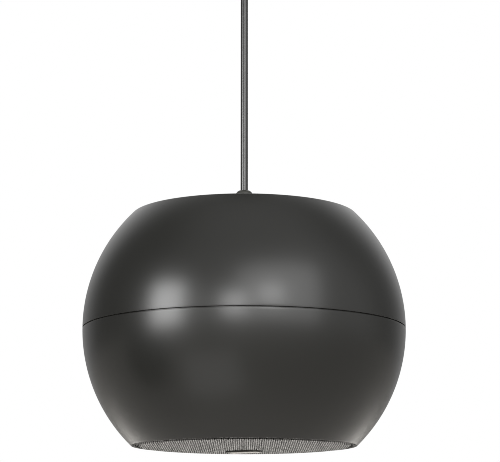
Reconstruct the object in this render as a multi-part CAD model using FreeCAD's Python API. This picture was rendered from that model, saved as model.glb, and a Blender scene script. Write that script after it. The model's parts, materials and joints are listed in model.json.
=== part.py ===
"""Pendant loudspeaker: a ball shell with a coaxial driver, hung on its own cable from a ceiling cup.

Units are millimetres. The origin is the centre of the ceiling plate's upper face, with +Z up, so the
speaker hangs below it. Everything of the speaker itself is modelled about the centre of its ball, which
is also the height of the seam, and is then lowered to where the cable holds it.
"""
import FreeCAD
import Part
import math
import os

V = FreeCAD.Vector

# Ball shell
SHELL_DIAMETER = 280.0
SHELL_WALL = 3.0
FLAT_TOP_DIAMETER = 196.0
TOP_CORNER_RADIUS = 1.5
REVEAL_GAP = 1.0              # dark line under the upper half's edge
REVEAL_DEPTH = 2.0
REVEAL_ROUNDING = 0.3         # of the lower half's edge
LIP_WIDTH = 6.0               # flange inside each half at the seam
LIP_HEIGHT = 5.0
SEAM_GASKET_WIDTH = 3.0
SEAM_GASKET_THICKNESS = 1.5

# Screws that hold the halves together
SHELL_SCREW_COUNT = 4
SHELL_SCREW_DIAMETER = 4.0
SHELL_SCREW_HEAD_DIAMETER = 8.0
SHELL_SCREW_HEAD_HEIGHT = 2.6
SHELL_SCREW_GRIP = 14.0
SHELL_BOSS_DIAMETER = 10.0
SHELL_BOSS_LOWER_HEIGHT = 9.0
SHELL_BOSS_UPPER_HEIGHT = 20.0
BOSS_WEB = 4.0

# Front: ledge, baffle and grille recess
RECESS_DEPTH = 21.0           # from the rim up to the ledge
LEDGE_THICKNESS = 4.0
LEDGE_GAP = 1.0               # from the driver's edge to the ledge
RECESS_WALL = 2.5
RIM_WIDTH = 3.5               # thin ring of shell seen around the grille
RECESS_CLEARANCE = 0.2
BAFFLE_THICKNESS = 6.0
BAFFLE_MARGIN = 10.25         # baffle around the driver
BAFFLE_SCREW_COUNT = 6
BAFFLE_SCREW_DIAMETER = 3.0
BAFFLE_SCREW_HEAD_DIAMETER = 6.0
BAFFLE_SCREW_HEAD_HEIGHT = 2.2
BAFFLE_SCREW_LENGTH = 14.0
BAFFLE_BOSS_DIAMETER = 7.0
BAFFLE_BOSS_HEIGHT = 8.0

# Perforated grille
GRILLE_THICKNESS = 1.0
GRILLE_BEND_RADIUS = 1.5
GRILLE_STAND = 1.0            # of the grille's face below the rim
GRILLE_HOLE_DIAMETER = 9.0
GRILLE_HOLE_PITCH = 15.0
GRILLE_PLAIN_EDGE = 9.5
BADGE_LENGTH = 30.0
BADGE_WIDTH = 15.0
BADGE_THICKNESS = 1.5
BADGE_EDGE_DISTANCE = 47.0    # from the grille's back edge to the middle of the badge
BADGE_TURN = -30.0

# Coaxial driver
DRIVER_DIAMETER = 166.0
DRIVER_FLANGE_THICKNESS = 2.5
DRIVER_GASKET_THICKNESS = 0.5
DRIVER_FLANGE_WIDTH = 10.0    # outside of the cut-out
DRIVER_POCKET_CLEARANCE = 0.2
DRIVER_SCREW_COUNT = 4
DRIVER_SCREW_DIAMETER = 4.0
DRIVER_SCREW_HEAD_DIAMETER = 7.6
DRIVER_SCREW_HEAD_HEIGHT = 2.4
DRIVER_SCREW_LENGTH = 10.0
DRIVER_BOSS_DIAMETER = 8.0
DRIVER_BOSS_HEIGHT = 6.0
SCREW_CLEARANCE = 0.2         # on the radius of a through hole
THREAD_CLEARANCE = 0.02       # on the radius of a hole that takes a thread
BASKET_SHEET = 1.5
BASKET_PLAY = 3.0             # frame to cut-out
BASKET_SHOULDER = 4.0         # step from the mouth to the frame's outside
BASKET_DEPTH = 37.5           # baffle face to the seat of the magnet
BASKET_CUP_MARGIN = 2.0       # outside of the magnet's front plate
BASKET_SHELF_WIDTH = 8.0      # seat of the spider's edge, outside of the cup
BASKET_CUP_HEIGHT = 6.5
BASKET_WINDOW_COUNT = 6
BASKET_WINDOW_ANGLE = 38.0
BASKET_WINDOW_MARGIN = 3.0
ROLL_RADIUS = 5.2             # half round of the surround, outside
RUBBER_THICKNESS = 1.0
SURROUND_LIP_WIDTH = 6.0
SURROUND_INNER_LIP_WIDTH = 4.0
PAPER_THICKNESS = 0.8
COIL_RADIUS = 12.75           # inside of the voice coil former
COIL_FORMER_WALL = 0.2
COIL_WINDING_THICKNESS = 0.3
COIL_WINDING_LENGTH = 10.0
COIL_TAIL = 6.5               # former behind the magnet's front plate
COIL_NOSE = 2.0               # former in front of the spider
SPIDER_THICKNESS = 0.6
SPIDER_WAVES = 4
SPIDER_WAVE_HEIGHT = 1.0
SPIDER_LIP = 2.0
TOP_PLATE_RADIUS = 36.0
TOP_PLATE_THICKNESS = 6.0
MAGNET_OVERHANG = 4.0         # magnet beyond its front plate
MAGNET_INNER_RADIUS = 22.0
MAGNET_HEIGHT = 15.0
YOKE_RADIUS = 36.0
YOKE_THICKNESS = 6.0
POLE_GAP = 0.45               # pole to former
PLATE_GAP = 0.5               # winding to front plate
TERMINAL_STRIP_SIZE = (18.0, 5.0, 10.0)
TERMINAL_STRIP_GAP = 2.0      # from the cup
TERMINAL_TAB_SIZE = (4.0, 0.8, 7.0)

# Tweeter on its post
TWEETER_POST_RADIUS = 4.0
TWEETER_POST_CLEARANCE = 0.05
TWEETER_POST_NOSE = 19.5
TWEETER_POST_HEAD_FLATS = 13.0
TWEETER_POST_HEAD_HEIGHT = 4.0
TWEETER_RADIUS = 15.0
TWEETER_LENGTH = 14.0
TWEETER_RECESS_RADIUS = 11.0
TWEETER_RECESS_DEPTH = 2.0
TWEETER_DOME_HEIGHT = 4.0
TWEETER_DOME_WALL = 0.5
DOME_CLEARANCE = 0.2

# Cable gland on the flat top
CABLE_DIAMETER = 6.5
GLAND_HEIGHT = 23.4           # over the flat top
GLAND_THREAD_DIAMETER = 16.0
GLAND_THREAD_TAIL = 8.0       # below the inside of the top
GLAND_HOLE_CLEARANCE = 0.2
GLAND_BASE_FLATS = 19.0
GLAND_BASE_HEIGHT = 6.0
GLAND_NECK_DIAMETER = 12.6
GLAND_NECK_HEIGHT = 9.0
GLAND_NECK_BORE = 9.6
GLAND_NUT_FLATS = 17.0
GLAND_NUT_FLATS_HEIGHT = 7.0
GLAND_DOME_DIAMETER = 15.0
GLAND_DOME_RADIUS = 4.4
GLAND_NUT_CLEARANCE = 0.05
GLAND_LOCKNUT_FLATS = 22.0
GLAND_LOCKNUT_HEIGHT = 5.0
GLAND_SEAL_TAIL = 12.0
CABLE_STOP_DIAMETER = 15.0
CABLE_STOP_HEIGHT = 8.0
CABLE_STOP_SCREW_DIAMETER = 3.0

# Crossover board under the flat top
BOARD_LENGTH = 96.0
BOARD_WIDTH = 58.0
BOARD_THICKNESS = 1.6
BOARD_SCREW_INSET = 6.0
BOARD_SCREW_DIAMETER = 3.0
BOARD_SCREW_HEAD_DIAMETER = 5.6
BOARD_SCREW_HEAD_HEIGHT = 2.0
BOARD_SCREW_LENGTH = 8.0
STANDOFF_DIAMETER = 8.0
STANDOFF_LENGTH = 33.0
TERMINAL_BLOCK_SIZE = (24.0, 16.0, 12.0)
TERMINAL_WELL_DIAMETER = 4.0
TERMINAL_WELL_DEPTH = 3.0
CAPACITOR_DIAMETER = 14.0
CAPACITOR_LENGTH = 30.0
CAPACITOR_PLACE = (0.0, -18.0)
INDUCTOR_DIAMETER = 26.0
INDUCTOR_BORE = 12.0
INDUCTOR_HEIGHT = 12.0
INDUCTOR_PLACE = (26.0, 8.0)

# Line transformer
CORE_WIDTH = 45.0
CORE_HEIGHT = 38.0
CORE_STACK = 16.0
CORE_LEG = 7.5
WINDING_OVERHANG = 7.0
WINDING_CLEARANCE = 0.2
TRANSFORMER_OFFSET = 60.0
TRANSFORMER_STRAP = 1.2
TRANSFORMER_FOOT = 13.0
TRANSFORMER_BOSS_HEIGHT = 8.0
TRANSFORMER_BOSS_DIAMETER = 10.0
TRANSFORMER_SCREW_LENGTH = 7.0

# Cable and ceiling fitting
CABLE_FREE_LENGTH = 184.0     # gland to cord grip
CUP_DIAMETER = 110.0
CUP_HEIGHT = 30.0
CUP_WALL = 1.2
CUP_CORNER_RADIUS = 2.5
CEILING_PLATE_DIAMETER = 98.0
CEILING_PLATE_THICKNESS = 2.0
CEILING_SCREW_SPACING = 70.0
CEILING_SCREW_HOLE_DIAMETER = 4.5
CEILING_WIRE_HOLE_DIAMETER = 16.0
LUG_WIDTH = 14.0
LUG_HEIGHT = 16.0             # reach below the ceiling
LUG_THICKNESS = 2.0
LUG_FOOT = 18.0               # along the plate
LUG_SCREW_HEIGHT = 9.0        # below the ceiling
LUG_CLEARANCE = 0.5
CUP_SCREW_DIAMETER = 3.0
CUP_SCREW_HEAD_DIAMETER = 5.6
CUP_SCREW_HEAD_HEIGHT = 2.0
CUP_SCREW_LENGTH = 8.0
GRIP_LENGTH = 16.0            # below the cup
GRIP_FLANGE_DIAMETER = 18.0
GRIP_FLANGE_HEIGHT = 4.0
GRIP_NOSE_DIAMETER = 14.0
GRIP_TIP_DIAMETER = 9.0
GRIP_THREAD_DIAMETER = 12.0
GRIP_THREAD_HEIGHT = 9.0
GRIP_NUT_FLATS = 17.0
GRIP_NUT_HEIGHT = 4.0
GRIP_BORE_CLEARANCE = 0.05
CEILING_TERMINAL_SIZE = (22.0, 14.0, 12.0)

# Worked out from the sizes above
shell_radius = SHELL_DIAMETER / 2
flat_top_radius = FLAT_TOP_DIAMETER / 2
inner_radius = shell_radius - SHELL_WALL
top_height = math.sqrt(shell_radius ** 2 - flat_top_radius ** 2)
top_inside = top_height - SHELL_WALL
lip_inner_radius = inner_radius - LIP_WIDTH
gasket_radius = inner_radius - LIP_WIDTH / 2
shell_screw_radius = lip_inner_radius - SHELL_BOSS_DIAMETER / 2
driver_radius = DRIVER_DIAMETER / 2
cutout_radius = driver_radius - DRIVER_FLANGE_WIDTH
driver_screw_radius = driver_radius - DRIVER_FLANGE_WIDTH / 2
baffle_radius = driver_radius + BAFFLE_MARGIN
recess_radius = baffle_radius + RECESS_CLEARANCE
rim_radius = recess_radius + RIM_WIDTH
rim_depth = math.sqrt(shell_radius ** 2 - rim_radius ** 2)
grille_face = -rim_depth - GRILLE_STAND
ledge_bottom = -rim_depth + RECESS_DEPTH
ledge_top = ledge_bottom + LEDGE_THICKNESS
ledge_inner_radius = driver_radius + LEDGE_GAP
baffle_front = ledge_bottom - BAFFLE_THICKNESS
baffle_screw_radius = (ledge_inner_radius + recess_radius) / 2
pocket_bottom = baffle_front + DRIVER_FLANGE_THICKNESS + DRIVER_GASKET_THICKNESS
flange_back = baffle_front + DRIVER_FLANGE_THICKNESS
magnet_seat = baffle_front + BASKET_DEPTH
shelf_back = magnet_seat - BASKET_CUP_HEIGHT
plate_back = magnet_seat + TOP_PLATE_THICKNESS
magnet_back = plate_back + MAGNET_HEIGHT
yoke_back = magnet_back + YOKE_THICKNESS
basket_cup_radius = TOP_PLATE_RADIUS + BASKET_CUP_MARGIN
basket_shelf_radius = basket_cup_radius + BASKET_SHELF_WIDTH
magnet_radius = TOP_PLATE_RADIUS + MAGNET_OVERHANG
basket_shoulder_radius = cutout_radius - BASKET_PLAY
basket_mouth_radius = basket_shoulder_radius - BASKET_SHOULDER
roll_middle = basket_mouth_radius - ROLL_RADIUS
cone_edge_radius = roll_middle - ROLL_RADIUS
former_radius = COIL_RADIUS + COIL_FORMER_WALL
winding_radius = former_radius + COIL_WINDING_THICKNESS
spider_back = shelf_back - BASKET_SHEET
spider_front = spider_back - SPIDER_THICKNESS
former_front = spider_front - COIL_NOSE - PAPER_THICKNESS
board_top = top_inside - STANDOFF_LENGTH
terminal_top = board_top + TERMINAL_BLOCK_SIZE[2]
gland_top = top_height + GLAND_HEIGHT
gland_tail = top_inside - GLAND_THREAD_TAIL
cable_radius = CABLE_DIAMETER / 2
speaker_drop = CUP_HEIGHT + GRIP_LENGTH + CABLE_FREE_LENGTH + gland_top
cup_radius = CUP_DIAMETER / 2
cup_inside = cup_radius - CUP_WALL


def ring(inner, outer, bottom, top):
    """Flat ring, or a disc where the inner radius is 0."""
    body = Part.makeCylinder(outer, top - bottom, V(0, 0, bottom))
    if inner > 0:
        body = body.cut(Part.makeCylinder(inner, top - bottom, V(0, 0, bottom)))
    return body


def post(x, y, radius, bottom, top):
    """Upright round post."""
    return Part.makeCylinder(radius, top - bottom, V(x, y, bottom))


def box(x_range, y_range, z_range):
    """Box between two corners."""
    low = V(x_range[0], y_range[0], z_range[0])
    size = [pair[1] - pair[0] for pair in (x_range, y_range, z_range)]
    return Part.makeBox(size[0], size[1], size[2], low)


def centred_box(x, y, size, bottom):
    """Box of a length, width and height, centred on x and y."""
    return box((x - size[0] / 2, x + size[0] / 2), (y - size[1] / 2, y + size[1] / 2),
               (bottom, bottom + size[2]))


def hexagon(flats, bottom, top):
    """Upright hexagon prism of a width across its flats."""
    corner = flats / math.sqrt(3)
    points = [V(corner * math.cos(math.radians(60 * k)), corner * math.sin(math.radians(60 * k)), bottom)
              for k in range(7)]
    return Part.Face(Part.makePolygon(points)).extrude(V(0, 0, top - bottom))


def turned(start, *steps):
    """Solid turned about Z. A step is a point (r, z), or a pair of points for an arc through the first."""
    edges = []
    here = start
    for step in steps + (start,):
        if isinstance(step[0], tuple):
            via, end = step
            arc = Part.Arc(V(here[0], 0, here[1]), V(via[0], 0, via[1]), V(end[0], 0, end[1]))
            edges.append(arc.toShape())
        else:
            end = step
            if math.dist(here, end) > 1e-6:
                edges.append(Part.makeLine(V(here[0], 0, here[1]), V(end[0], 0, end[1])))
        here = end
    return Part.Face(Part.Wire(edges)).revolve(V(0, 0, 0), V(0, 0, 1), 360)


def on_ball(radius, z):
    """Point of a ball's outline at a height."""
    return (math.sqrt(radius ** 2 - z ** 2), z)


def ball_zone(radius, low, high):
    """Solid slice of a ball between two heights."""
    bottom = on_ball(radius, low)
    top = on_ball(radius, high)
    return turned((0, low), bottom, (on_ball(radius, (low + high) / 2), top), (0, high))


def around(count, radius, start_angle=0.0):
    """Places of a ring of holes or screws."""
    angles = [math.radians(start_angle + 360 * k / count) for k in range(count)]
    return [(radius * math.cos(a), radius * math.sin(a)) for a in angles]


def round_edge(shape, radius, edge_radius, z):
    """Rounds the circular edges of a radius at a height."""
    def matches(edge):
        curve = edge.Curve
        return (hasattr(curve, "Radius") and abs(curve.Radius - edge_radius) < 1e-3
                and abs(edge.CenterOfMass.z - z) < 1e-3)
    return shape.makeFillet(radius, [edge for edge in shape.Edges if matches(edge)])


def pan_screw(x, y, seat, diameter, length, head_diameter, head_height):
    """Screw driven upwards, with the underside of its head at the seat."""
    shank = post(x, y, diameter / 2, seat, seat + length)
    head = post(x, y, head_diameter / 2, seat - head_height, seat)
    slot = centred_box(x, y, (head_diameter * 0.7, head_height * 0.4, head_height * 0.45), seat - head_height)
    return shank.fuse(head).removeSplitter().cut(slot)


def shell_boss(x, y, low, high):
    """Screw boss at the seam with a web to the wall."""
    angle = math.degrees(math.atan2(y, x))
    boss = post(x, y, SHELL_BOSS_DIAMETER / 2, low, high)
    reach = math.hypot(x, y)
    web = box((reach, shell_radius), (-BOSS_WEB / 2, BOSS_WEB / 2), (low, high))
    web.rotate(V(0, 0, 0), V(0, 0, 1), angle)
    return boss.fuse(web)


def transformer_feet():
    """Places of the two transformer screws."""
    reach = CORE_WIDTH / 2 + TRANSFORMER_STRAP + TRANSFORMER_FOOT / 2
    return [(-reach, TRANSFORMER_OFFSET), (reach, TRANSFORMER_OFFSET)]


def board_corners():
    """Places of the four board screws."""
    x = BOARD_LENGTH / 2 - BOARD_SCREW_INSET
    y = BOARD_WIDTH / 2 - BOARD_SCREW_INSET
    return [(-x, -y), (x, -y), (x, y), (-x, y)]


def upper_shell():
    """Upper half of the ball with the flat top, seam lip, screw bosses and board standoffs."""
    outside = round_edge(ball_zone(shell_radius, 0, top_height), TOP_CORNER_RADIUS,
                         on_ball(shell_radius, top_height)[0], top_height)
    hollow = ball_zone(inner_radius, 0, top_inside)
    inside = ring(lip_inner_radius, shell_radius, 0, LIP_HEIGHT)
    for x, y in around(SHELL_SCREW_COUNT, shell_screw_radius, 45):
        inside = inside.fuse(shell_boss(x, y, 0, SHELL_BOSS_UPPER_HEIGHT))
    for x, y in board_corners():
        inside = inside.fuse(post(x, y, STANDOFF_DIAMETER / 2, board_top, top_inside + SHELL_WALL / 2))
    for x, y in transformer_feet():
        inside = inside.fuse(post(x, y, TRANSFORMER_BOSS_DIAMETER / 2, top_inside - TRANSFORMER_BOSS_HEIGHT,
                                  top_inside + SHELL_WALL / 2))
    kept = ball_zone(inner_radius + SHELL_WALL / 2, 0, top_inside + SHELL_WALL / 2)
    shell = outside.cut(hollow).fuse(inside.common(kept)).removeSplitter()
    gland_hole = GLAND_THREAD_DIAMETER / 2 + GLAND_HOLE_CLEARANCE
    shell = shell.cut(post(0, 0, gland_hole, top_inside - 1, top_height + 1))
    pilot = SHELL_SCREW_DIAMETER / 2 + THREAD_CLEARANCE
    for x, y in around(SHELL_SCREW_COUNT, shell_screw_radius, 45):
        shell = shell.cut(post(x, y, pilot, -1, SHELL_SCREW_GRIP + 1))
    pilot = BOARD_SCREW_DIAMETER / 2 + THREAD_CLEARANCE
    for x, y in board_corners():
        shell = shell.cut(post(x, y, pilot, board_top - 1, board_top + BOARD_SCREW_LENGTH))
    foot = top_inside - TRANSFORMER_BOSS_HEIGHT
    for x, y in transformer_feet():
        shell = shell.cut(post(x, y, pilot, foot - 1, foot + TRANSFORMER_SCREW_LENGTH))
    return shell


def lower_shell():
    """Lower half of the ball with the thin rim, grille recess, ledge and seam bosses."""
    outside = ball_zone(shell_radius, -rim_depth, 0)
    hollow = ball_zone(inner_radius, -rim_depth, 0)
    inside = ring(lip_inner_radius, shell_radius, -LIP_HEIGHT, 0)
    for x, y in around(SHELL_SCREW_COUNT, shell_screw_radius, 45):
        inside = inside.fuse(shell_boss(x, y, -SHELL_BOSS_LOWER_HEIGHT, 0))
    inside = inside.fuse(ring(recess_radius, recess_radius + RECESS_WALL, -rim_depth, ledge_top))
    inside = inside.fuse(ring(ledge_inner_radius, recess_radius + RECESS_WALL, ledge_bottom, ledge_top))
    for x, y in around(BAFFLE_SCREW_COUNT, baffle_screw_radius):
        boss = post(x, y, BAFFLE_BOSS_DIAMETER / 2, ledge_bottom, ledge_top + BAFFLE_BOSS_HEIGHT)
        inside = inside.fuse(boss)
    kept = ball_zone(inner_radius + SHELL_WALL / 2, -rim_depth, 0)
    shell = outside.cut(hollow).fuse(inside.common(kept)).removeSplitter()
    shell = shell.cut(ring(0, recess_radius, -rim_depth - 1, ledge_bottom))
    shell = shell.cut(ring(shell_radius - REVEAL_DEPTH, shell_radius + 1, -REVEAL_GAP, REVEAL_GAP))
    shell = round_edge(shell, REVEAL_ROUNDING, on_ball(shell_radius, -REVEAL_GAP)[0], -REVEAL_GAP)
    shell = shell.cut(ring(gasket_radius - SEAM_GASKET_WIDTH / 2, gasket_radius + SEAM_GASKET_WIDTH / 2,
                           -SEAM_GASKET_THICKNESS, 1))
    for x, y in around(SHELL_SCREW_COUNT, shell_screw_radius, 45):
        through = SHELL_SCREW_DIAMETER / 2 + SCREW_CLEARANCE
        shell = shell.cut(post(x, y, through, -SHELL_BOSS_LOWER_HEIGHT - 1, 1))
    pilot = BAFFLE_SCREW_DIAMETER / 2 + THREAD_CLEARANCE
    for x, y in around(BAFFLE_SCREW_COUNT, baffle_screw_radius):
        shell = shell.cut(post(x, y, pilot, ledge_bottom - 1, baffle_front + BAFFLE_SCREW_LENGTH + 0.5))
    return shell


def seam_gasket():
    """Foam ring in the groove of the lower lip."""
    half = SEAM_GASKET_WIDTH / 2
    return ring(gasket_radius - half, gasket_radius + half, -SEAM_GASKET_THICKNESS, 0)


def shell_screws():
    """Four screws from the lower bosses up into the upper ones."""
    seat = -SHELL_BOSS_LOWER_HEIGHT
    length = SHELL_BOSS_LOWER_HEIGHT + SHELL_SCREW_GRIP
    return [pan_screw(x, y, seat, SHELL_SCREW_DIAMETER, length, SHELL_SCREW_HEAD_DIAMETER,
                      SHELL_SCREW_HEAD_HEIGHT)
            for x, y in around(SHELL_SCREW_COUNT, shell_screw_radius, 45)]


def front_baffle():
    """Round plate that carries the driver under the ledge."""
    plate = ring(cutout_radius, baffle_radius, baffle_front, ledge_bottom)
    for x, y in around(DRIVER_SCREW_COUNT, driver_screw_radius, 45):
        boss = post(x, y, DRIVER_BOSS_DIAMETER / 2, pocket_bottom, ledge_bottom + DRIVER_BOSS_HEIGHT)
        plate = plate.fuse(boss)
    pocket = driver_radius + DRIVER_POCKET_CLEARANCE
    plate = plate.cut(ring(0, pocket, baffle_front - 1, pocket_bottom))
    for x, y in around(DRIVER_SCREW_COUNT, driver_screw_radius, 45):
        pilot = DRIVER_SCREW_DIAMETER / 2 + THREAD_CLEARANCE
        plate = plate.cut(post(x, y, pilot, baffle_front, baffle_front + DRIVER_SCREW_LENGTH + 0.5))
    for x, y in around(BAFFLE_SCREW_COUNT, baffle_screw_radius):
        through = BAFFLE_SCREW_DIAMETER / 2 + SCREW_CLEARANCE
        plate = plate.cut(post(x, y, through, baffle_front - 1, ledge_bottom + 1))
    return plate


def baffle_screws():
    """Screws of the baffle, up into the ledge."""
    return [pan_screw(x, y, baffle_front, BAFFLE_SCREW_DIAMETER, BAFFLE_SCREW_LENGTH,
                      BAFFLE_SCREW_HEAD_DIAMETER, BAFFLE_SCREW_HEAD_HEIGHT)
            for x, y in around(BAFFLE_SCREW_COUNT, baffle_screw_radius)]


def grille_holes():
    """Staggered hole places inside the plain edge of the grille."""
    reach = baffle_radius - GRILLE_PLAIN_EDGE - GRILLE_HOLE_DIAMETER / 2
    row_step = GRILLE_HOLE_PITCH * math.sqrt(3) / 2
    rows = int(reach / row_step)
    places = []
    for row in range(-rows, rows + 1):
        shift = GRILLE_HOLE_PITCH / 2 if row % 2 else 0.0
        columns = int(reach / GRILLE_HOLE_PITCH) + 1
        for column in range(-columns, columns + 1):
            x = column * GRILLE_HOLE_PITCH + shift
            y = row * row_step
            if math.hypot(x, y) <= reach:
                places.append((x, y))
    return places


def grille():
    """Flat perforated sheet with a turned-up edge that presses into the recess."""
    outer = baffle_radius
    inner = outer - GRILLE_THICKNESS
    pan = round_edge(ring(0, outer, grille_face, baffle_front), GRILLE_BEND_RADIUS, outer, grille_face)
    pan = pan.cut(ring(0, inner, grille_face + GRILLE_THICKNESS, baffle_front + 1))
    holes = [post(x, y, GRILLE_HOLE_DIAMETER / 2, grille_face - 1, grille_face + GRILLE_THICKNESS + 1)
             for x, y in grille_holes()]
    print("grille holes", len(holes))
    return pan.cut(Part.makeCompound(holes))


def grille_badge():
    """Blank plate on the face of the grille."""
    plate = centred_box(0, 0, (BADGE_LENGTH, BADGE_WIDTH, BADGE_THICKNESS), grille_face - BADGE_THICKNESS)
    corners = [edge for edge in plate.Edges if edge.BoundBox.ZLength > BADGE_THICKNESS / 2]
    plate = plate.makeFillet(BADGE_WIDTH / 8, corners)
    plate.rotate(V(0, 0, 0), V(0, 0, 1), BADGE_TURN)
    plate.translate(V(0, baffle_radius - BADGE_EDGE_DISTANCE, 0))
    return plate


def driver_gasket():
    """Foam ring between the driver's flange and the baffle."""
    gasket = ring(cutout_radius, driver_radius, flange_back, pocket_bottom)
    for x, y in around(DRIVER_SCREW_COUNT, driver_screw_radius, 45):
        hole = DRIVER_SCREW_DIAMETER / 2 + SCREW_CLEARANCE
        gasket = gasket.cut(post(x, y, hole, flange_back - 1, pocket_bottom + 1))
    return gasket


def woofer_basket():
    """Pressed steel frame: flange, windowed cone, spider shelf and magnet seat."""
    cup_inside_radius = basket_cup_radius - BASKET_SHEET
    basket = turned(
        (driver_radius, baffle_front),
        (driver_radius, flange_back),
        (basket_shoulder_radius, flange_back),
        (basket_shelf_radius, shelf_back),
        (basket_cup_radius, shelf_back),
        (basket_cup_radius, magnet_seat),
        (winding_radius + 2 * PLATE_GAP, magnet_seat),
        (winding_radius + 2 * PLATE_GAP, magnet_seat - BASKET_SHEET),
        (cup_inside_radius, magnet_seat - BASKET_SHEET),
        (cup_inside_radius, spider_back),
        (basket_shelf_radius - BASKET_SHEET, spider_back),
        (basket_mouth_radius, flange_back + BASKET_SHOULDER / 2),
        (basket_mouth_radius, baffle_front))
    low = flange_back + BASKET_WINDOW_MARGIN + BASKET_SHOULDER / 2
    high = spider_back - BASKET_WINDOW_MARGIN
    for k in range(BASKET_WINDOW_COUNT):
        window = Part.makeCylinder(driver_radius, high - low, V(0, 0, low), V(0, 0, 1), BASKET_WINDOW_ANGLE)
        window.rotate(V(0, 0, 0), V(0, 0, 1), 360 * k / BASKET_WINDOW_COUNT + BASKET_WINDOW_ANGLE / 4)
        basket = basket.cut(window)
    for x, y in around(DRIVER_SCREW_COUNT, driver_screw_radius, 45):
        hole = DRIVER_SCREW_DIAMETER / 2 + SCREW_CLEARANCE
        basket = basket.cut(post(x, y, hole, baffle_front - 1, flange_back + 1))
    return basket


def driver_screws():
    """Four screws of the driver's flange."""
    return [pan_screw(x, y, baffle_front, DRIVER_SCREW_DIAMETER, DRIVER_SCREW_LENGTH,
                      DRIVER_SCREW_HEAD_DIAMETER, DRIVER_SCREW_HEAD_HEIGHT)
            for x, y in around(DRIVER_SCREW_COUNT, driver_screw_radius, 45)]


def surround():
    """Rubber half roll between the frame and the cone."""
    back = baffle_front
    front = back - RUBBER_THICKNESS
    inner_roll = ROLL_RADIUS - RUBBER_THICKNESS
    outer_reach = math.sqrt(ROLL_RADIUS ** 2 - RUBBER_THICKNESS ** 2)
    outer_lip = basket_mouth_radius + SURROUND_LIP_WIDTH
    inner_lip = cone_edge_radius - SURROUND_INNER_LIP_WIDTH
    return turned(
        (outer_lip, back),
        (roll_middle + inner_roll, back),
        ((roll_middle, back - inner_roll), (roll_middle - inner_roll, back)),
        (inner_lip, back),
        (inner_lip, front),
        (roll_middle - outer_reach, front),
        ((roll_middle, back - ROLL_RADIUS), (roll_middle + outer_reach, front)),
        (outer_lip, front))


def cone():
    """Paper cone from the surround down to the voice coil."""
    edge = cone_edge_radius
    lip = edge - SURROUND_INNER_LIP_WIDTH
    back = baffle_front
    neck = spider_front - COIL_NOSE
    return turned(
        (edge, back),
        (edge, back + PAPER_THICKNESS),
        (lip, back + PAPER_THICKNESS),
        (former_radius + PAPER_THICKNESS, neck),
        (former_radius, neck),
        (former_radius, neck - PAPER_THICKNESS),
        (lip, back))


def voice_coil():
    """Former with its winding in the magnet's gap."""
    middle = (magnet_seat + plate_back) / 2
    tail = plate_back + COIL_TAIL
    return turned(
        (COIL_RADIUS, former_front),
        (former_radius, former_front),
        (former_radius, middle - COIL_WINDING_LENGTH / 2),
        (winding_radius, middle - COIL_WINDING_LENGTH / 2),
        (winding_radius, middle + COIL_WINDING_LENGTH / 2),
        (former_radius, middle + COIL_WINDING_LENGTH / 2),
        (former_radius, tail),
        (COIL_RADIUS, tail))


def spider():
    """Corrugated ring that centres the voice coil."""
    outer = basket_shelf_radius - BASKET_SHEET - 1
    start = former_radius + SPIDER_LIP
    end = basket_cup_radius - BASKET_SHEET
    step = (end - start) / (2 * SPIDER_WAVES)
    waves = [(start + step * (k + 0.5), SPIDER_WAVE_HEIGHT * (-1) ** (k + 1))
             for k in range(2 * SPIDER_WAVES)]
    front = [(r, spider_front + rise) for r, rise in waves]
    back = [(r, spider_back + rise) for r, rise in reversed(waves)]
    outline = [(start, spider_front)] + front + [(end, spider_front), (outer, spider_front)]
    outline += [(outer, spider_back), (end, spider_back)] + back
    outline += [(start, spider_back), (former_radius, spider_back)]
    return turned((former_radius, spider_front), *outline)


def top_plate():
    """Front plate of the magnet."""
    return ring(winding_radius + PLATE_GAP, TOP_PLATE_RADIUS, magnet_seat, plate_back)


def magnet():
    """Ferrite ring."""
    return ring(MAGNET_INNER_RADIUS, magnet_radius, plate_back, magnet_back)


def pole_yoke():
    """Back plate with the pole, bored for the tweeter's post."""
    yoke = ring(0, YOKE_RADIUS, magnet_back, yoke_back)
    pole = ring(0, COIL_RADIUS - POLE_GAP, magnet_seat, magnet_back)
    bore = post(0, 0, TWEETER_POST_RADIUS + TWEETER_POST_CLEARANCE, magnet_seat - 1, yoke_back + 1)
    return yoke.fuse(pole).removeSplitter().cut(bore)


def driver_terminals():
    """Terminal strip with two tabs on the back of the frame's shelf."""
    y = basket_cup_radius + TERMINAL_STRIP_GAP + TERMINAL_STRIP_SIZE[1] / 2
    strip = centred_box(0, y, TERMINAL_STRIP_SIZE, shelf_back)
    for x in (-TERMINAL_STRIP_SIZE[0] / 4, TERMINAL_STRIP_SIZE[0] / 4):
        strip = strip.fuse(centred_box(x, y, TERMINAL_TAB_SIZE, shelf_back + TERMINAL_STRIP_SIZE[2]))
    return strip


def tweeter_post():
    """Bolt through the pole that carries the tweeter."""
    nose = magnet_seat - TWEETER_POST_NOSE
    rod = post(0, 0, TWEETER_POST_RADIUS, nose, yoke_back)
    return rod.fuse(hexagon(TWEETER_POST_HEAD_FLATS, yoke_back, yoke_back + TWEETER_POST_HEAD_HEIGHT))


def tweeter_body():
    """Tweeter housing with the recess of its dome."""
    back = magnet_seat - TWEETER_POST_NOSE
    front = back - TWEETER_LENGTH
    return turned((0, back), (TWEETER_RADIUS - 3, back), (TWEETER_RADIUS, back - 3), (TWEETER_RADIUS, front),
                  (TWEETER_RECESS_RADIUS, front), (TWEETER_RECESS_RADIUS, front + TWEETER_RECESS_DEPTH),
                  (0, front + TWEETER_RECESS_DEPTH))


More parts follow.
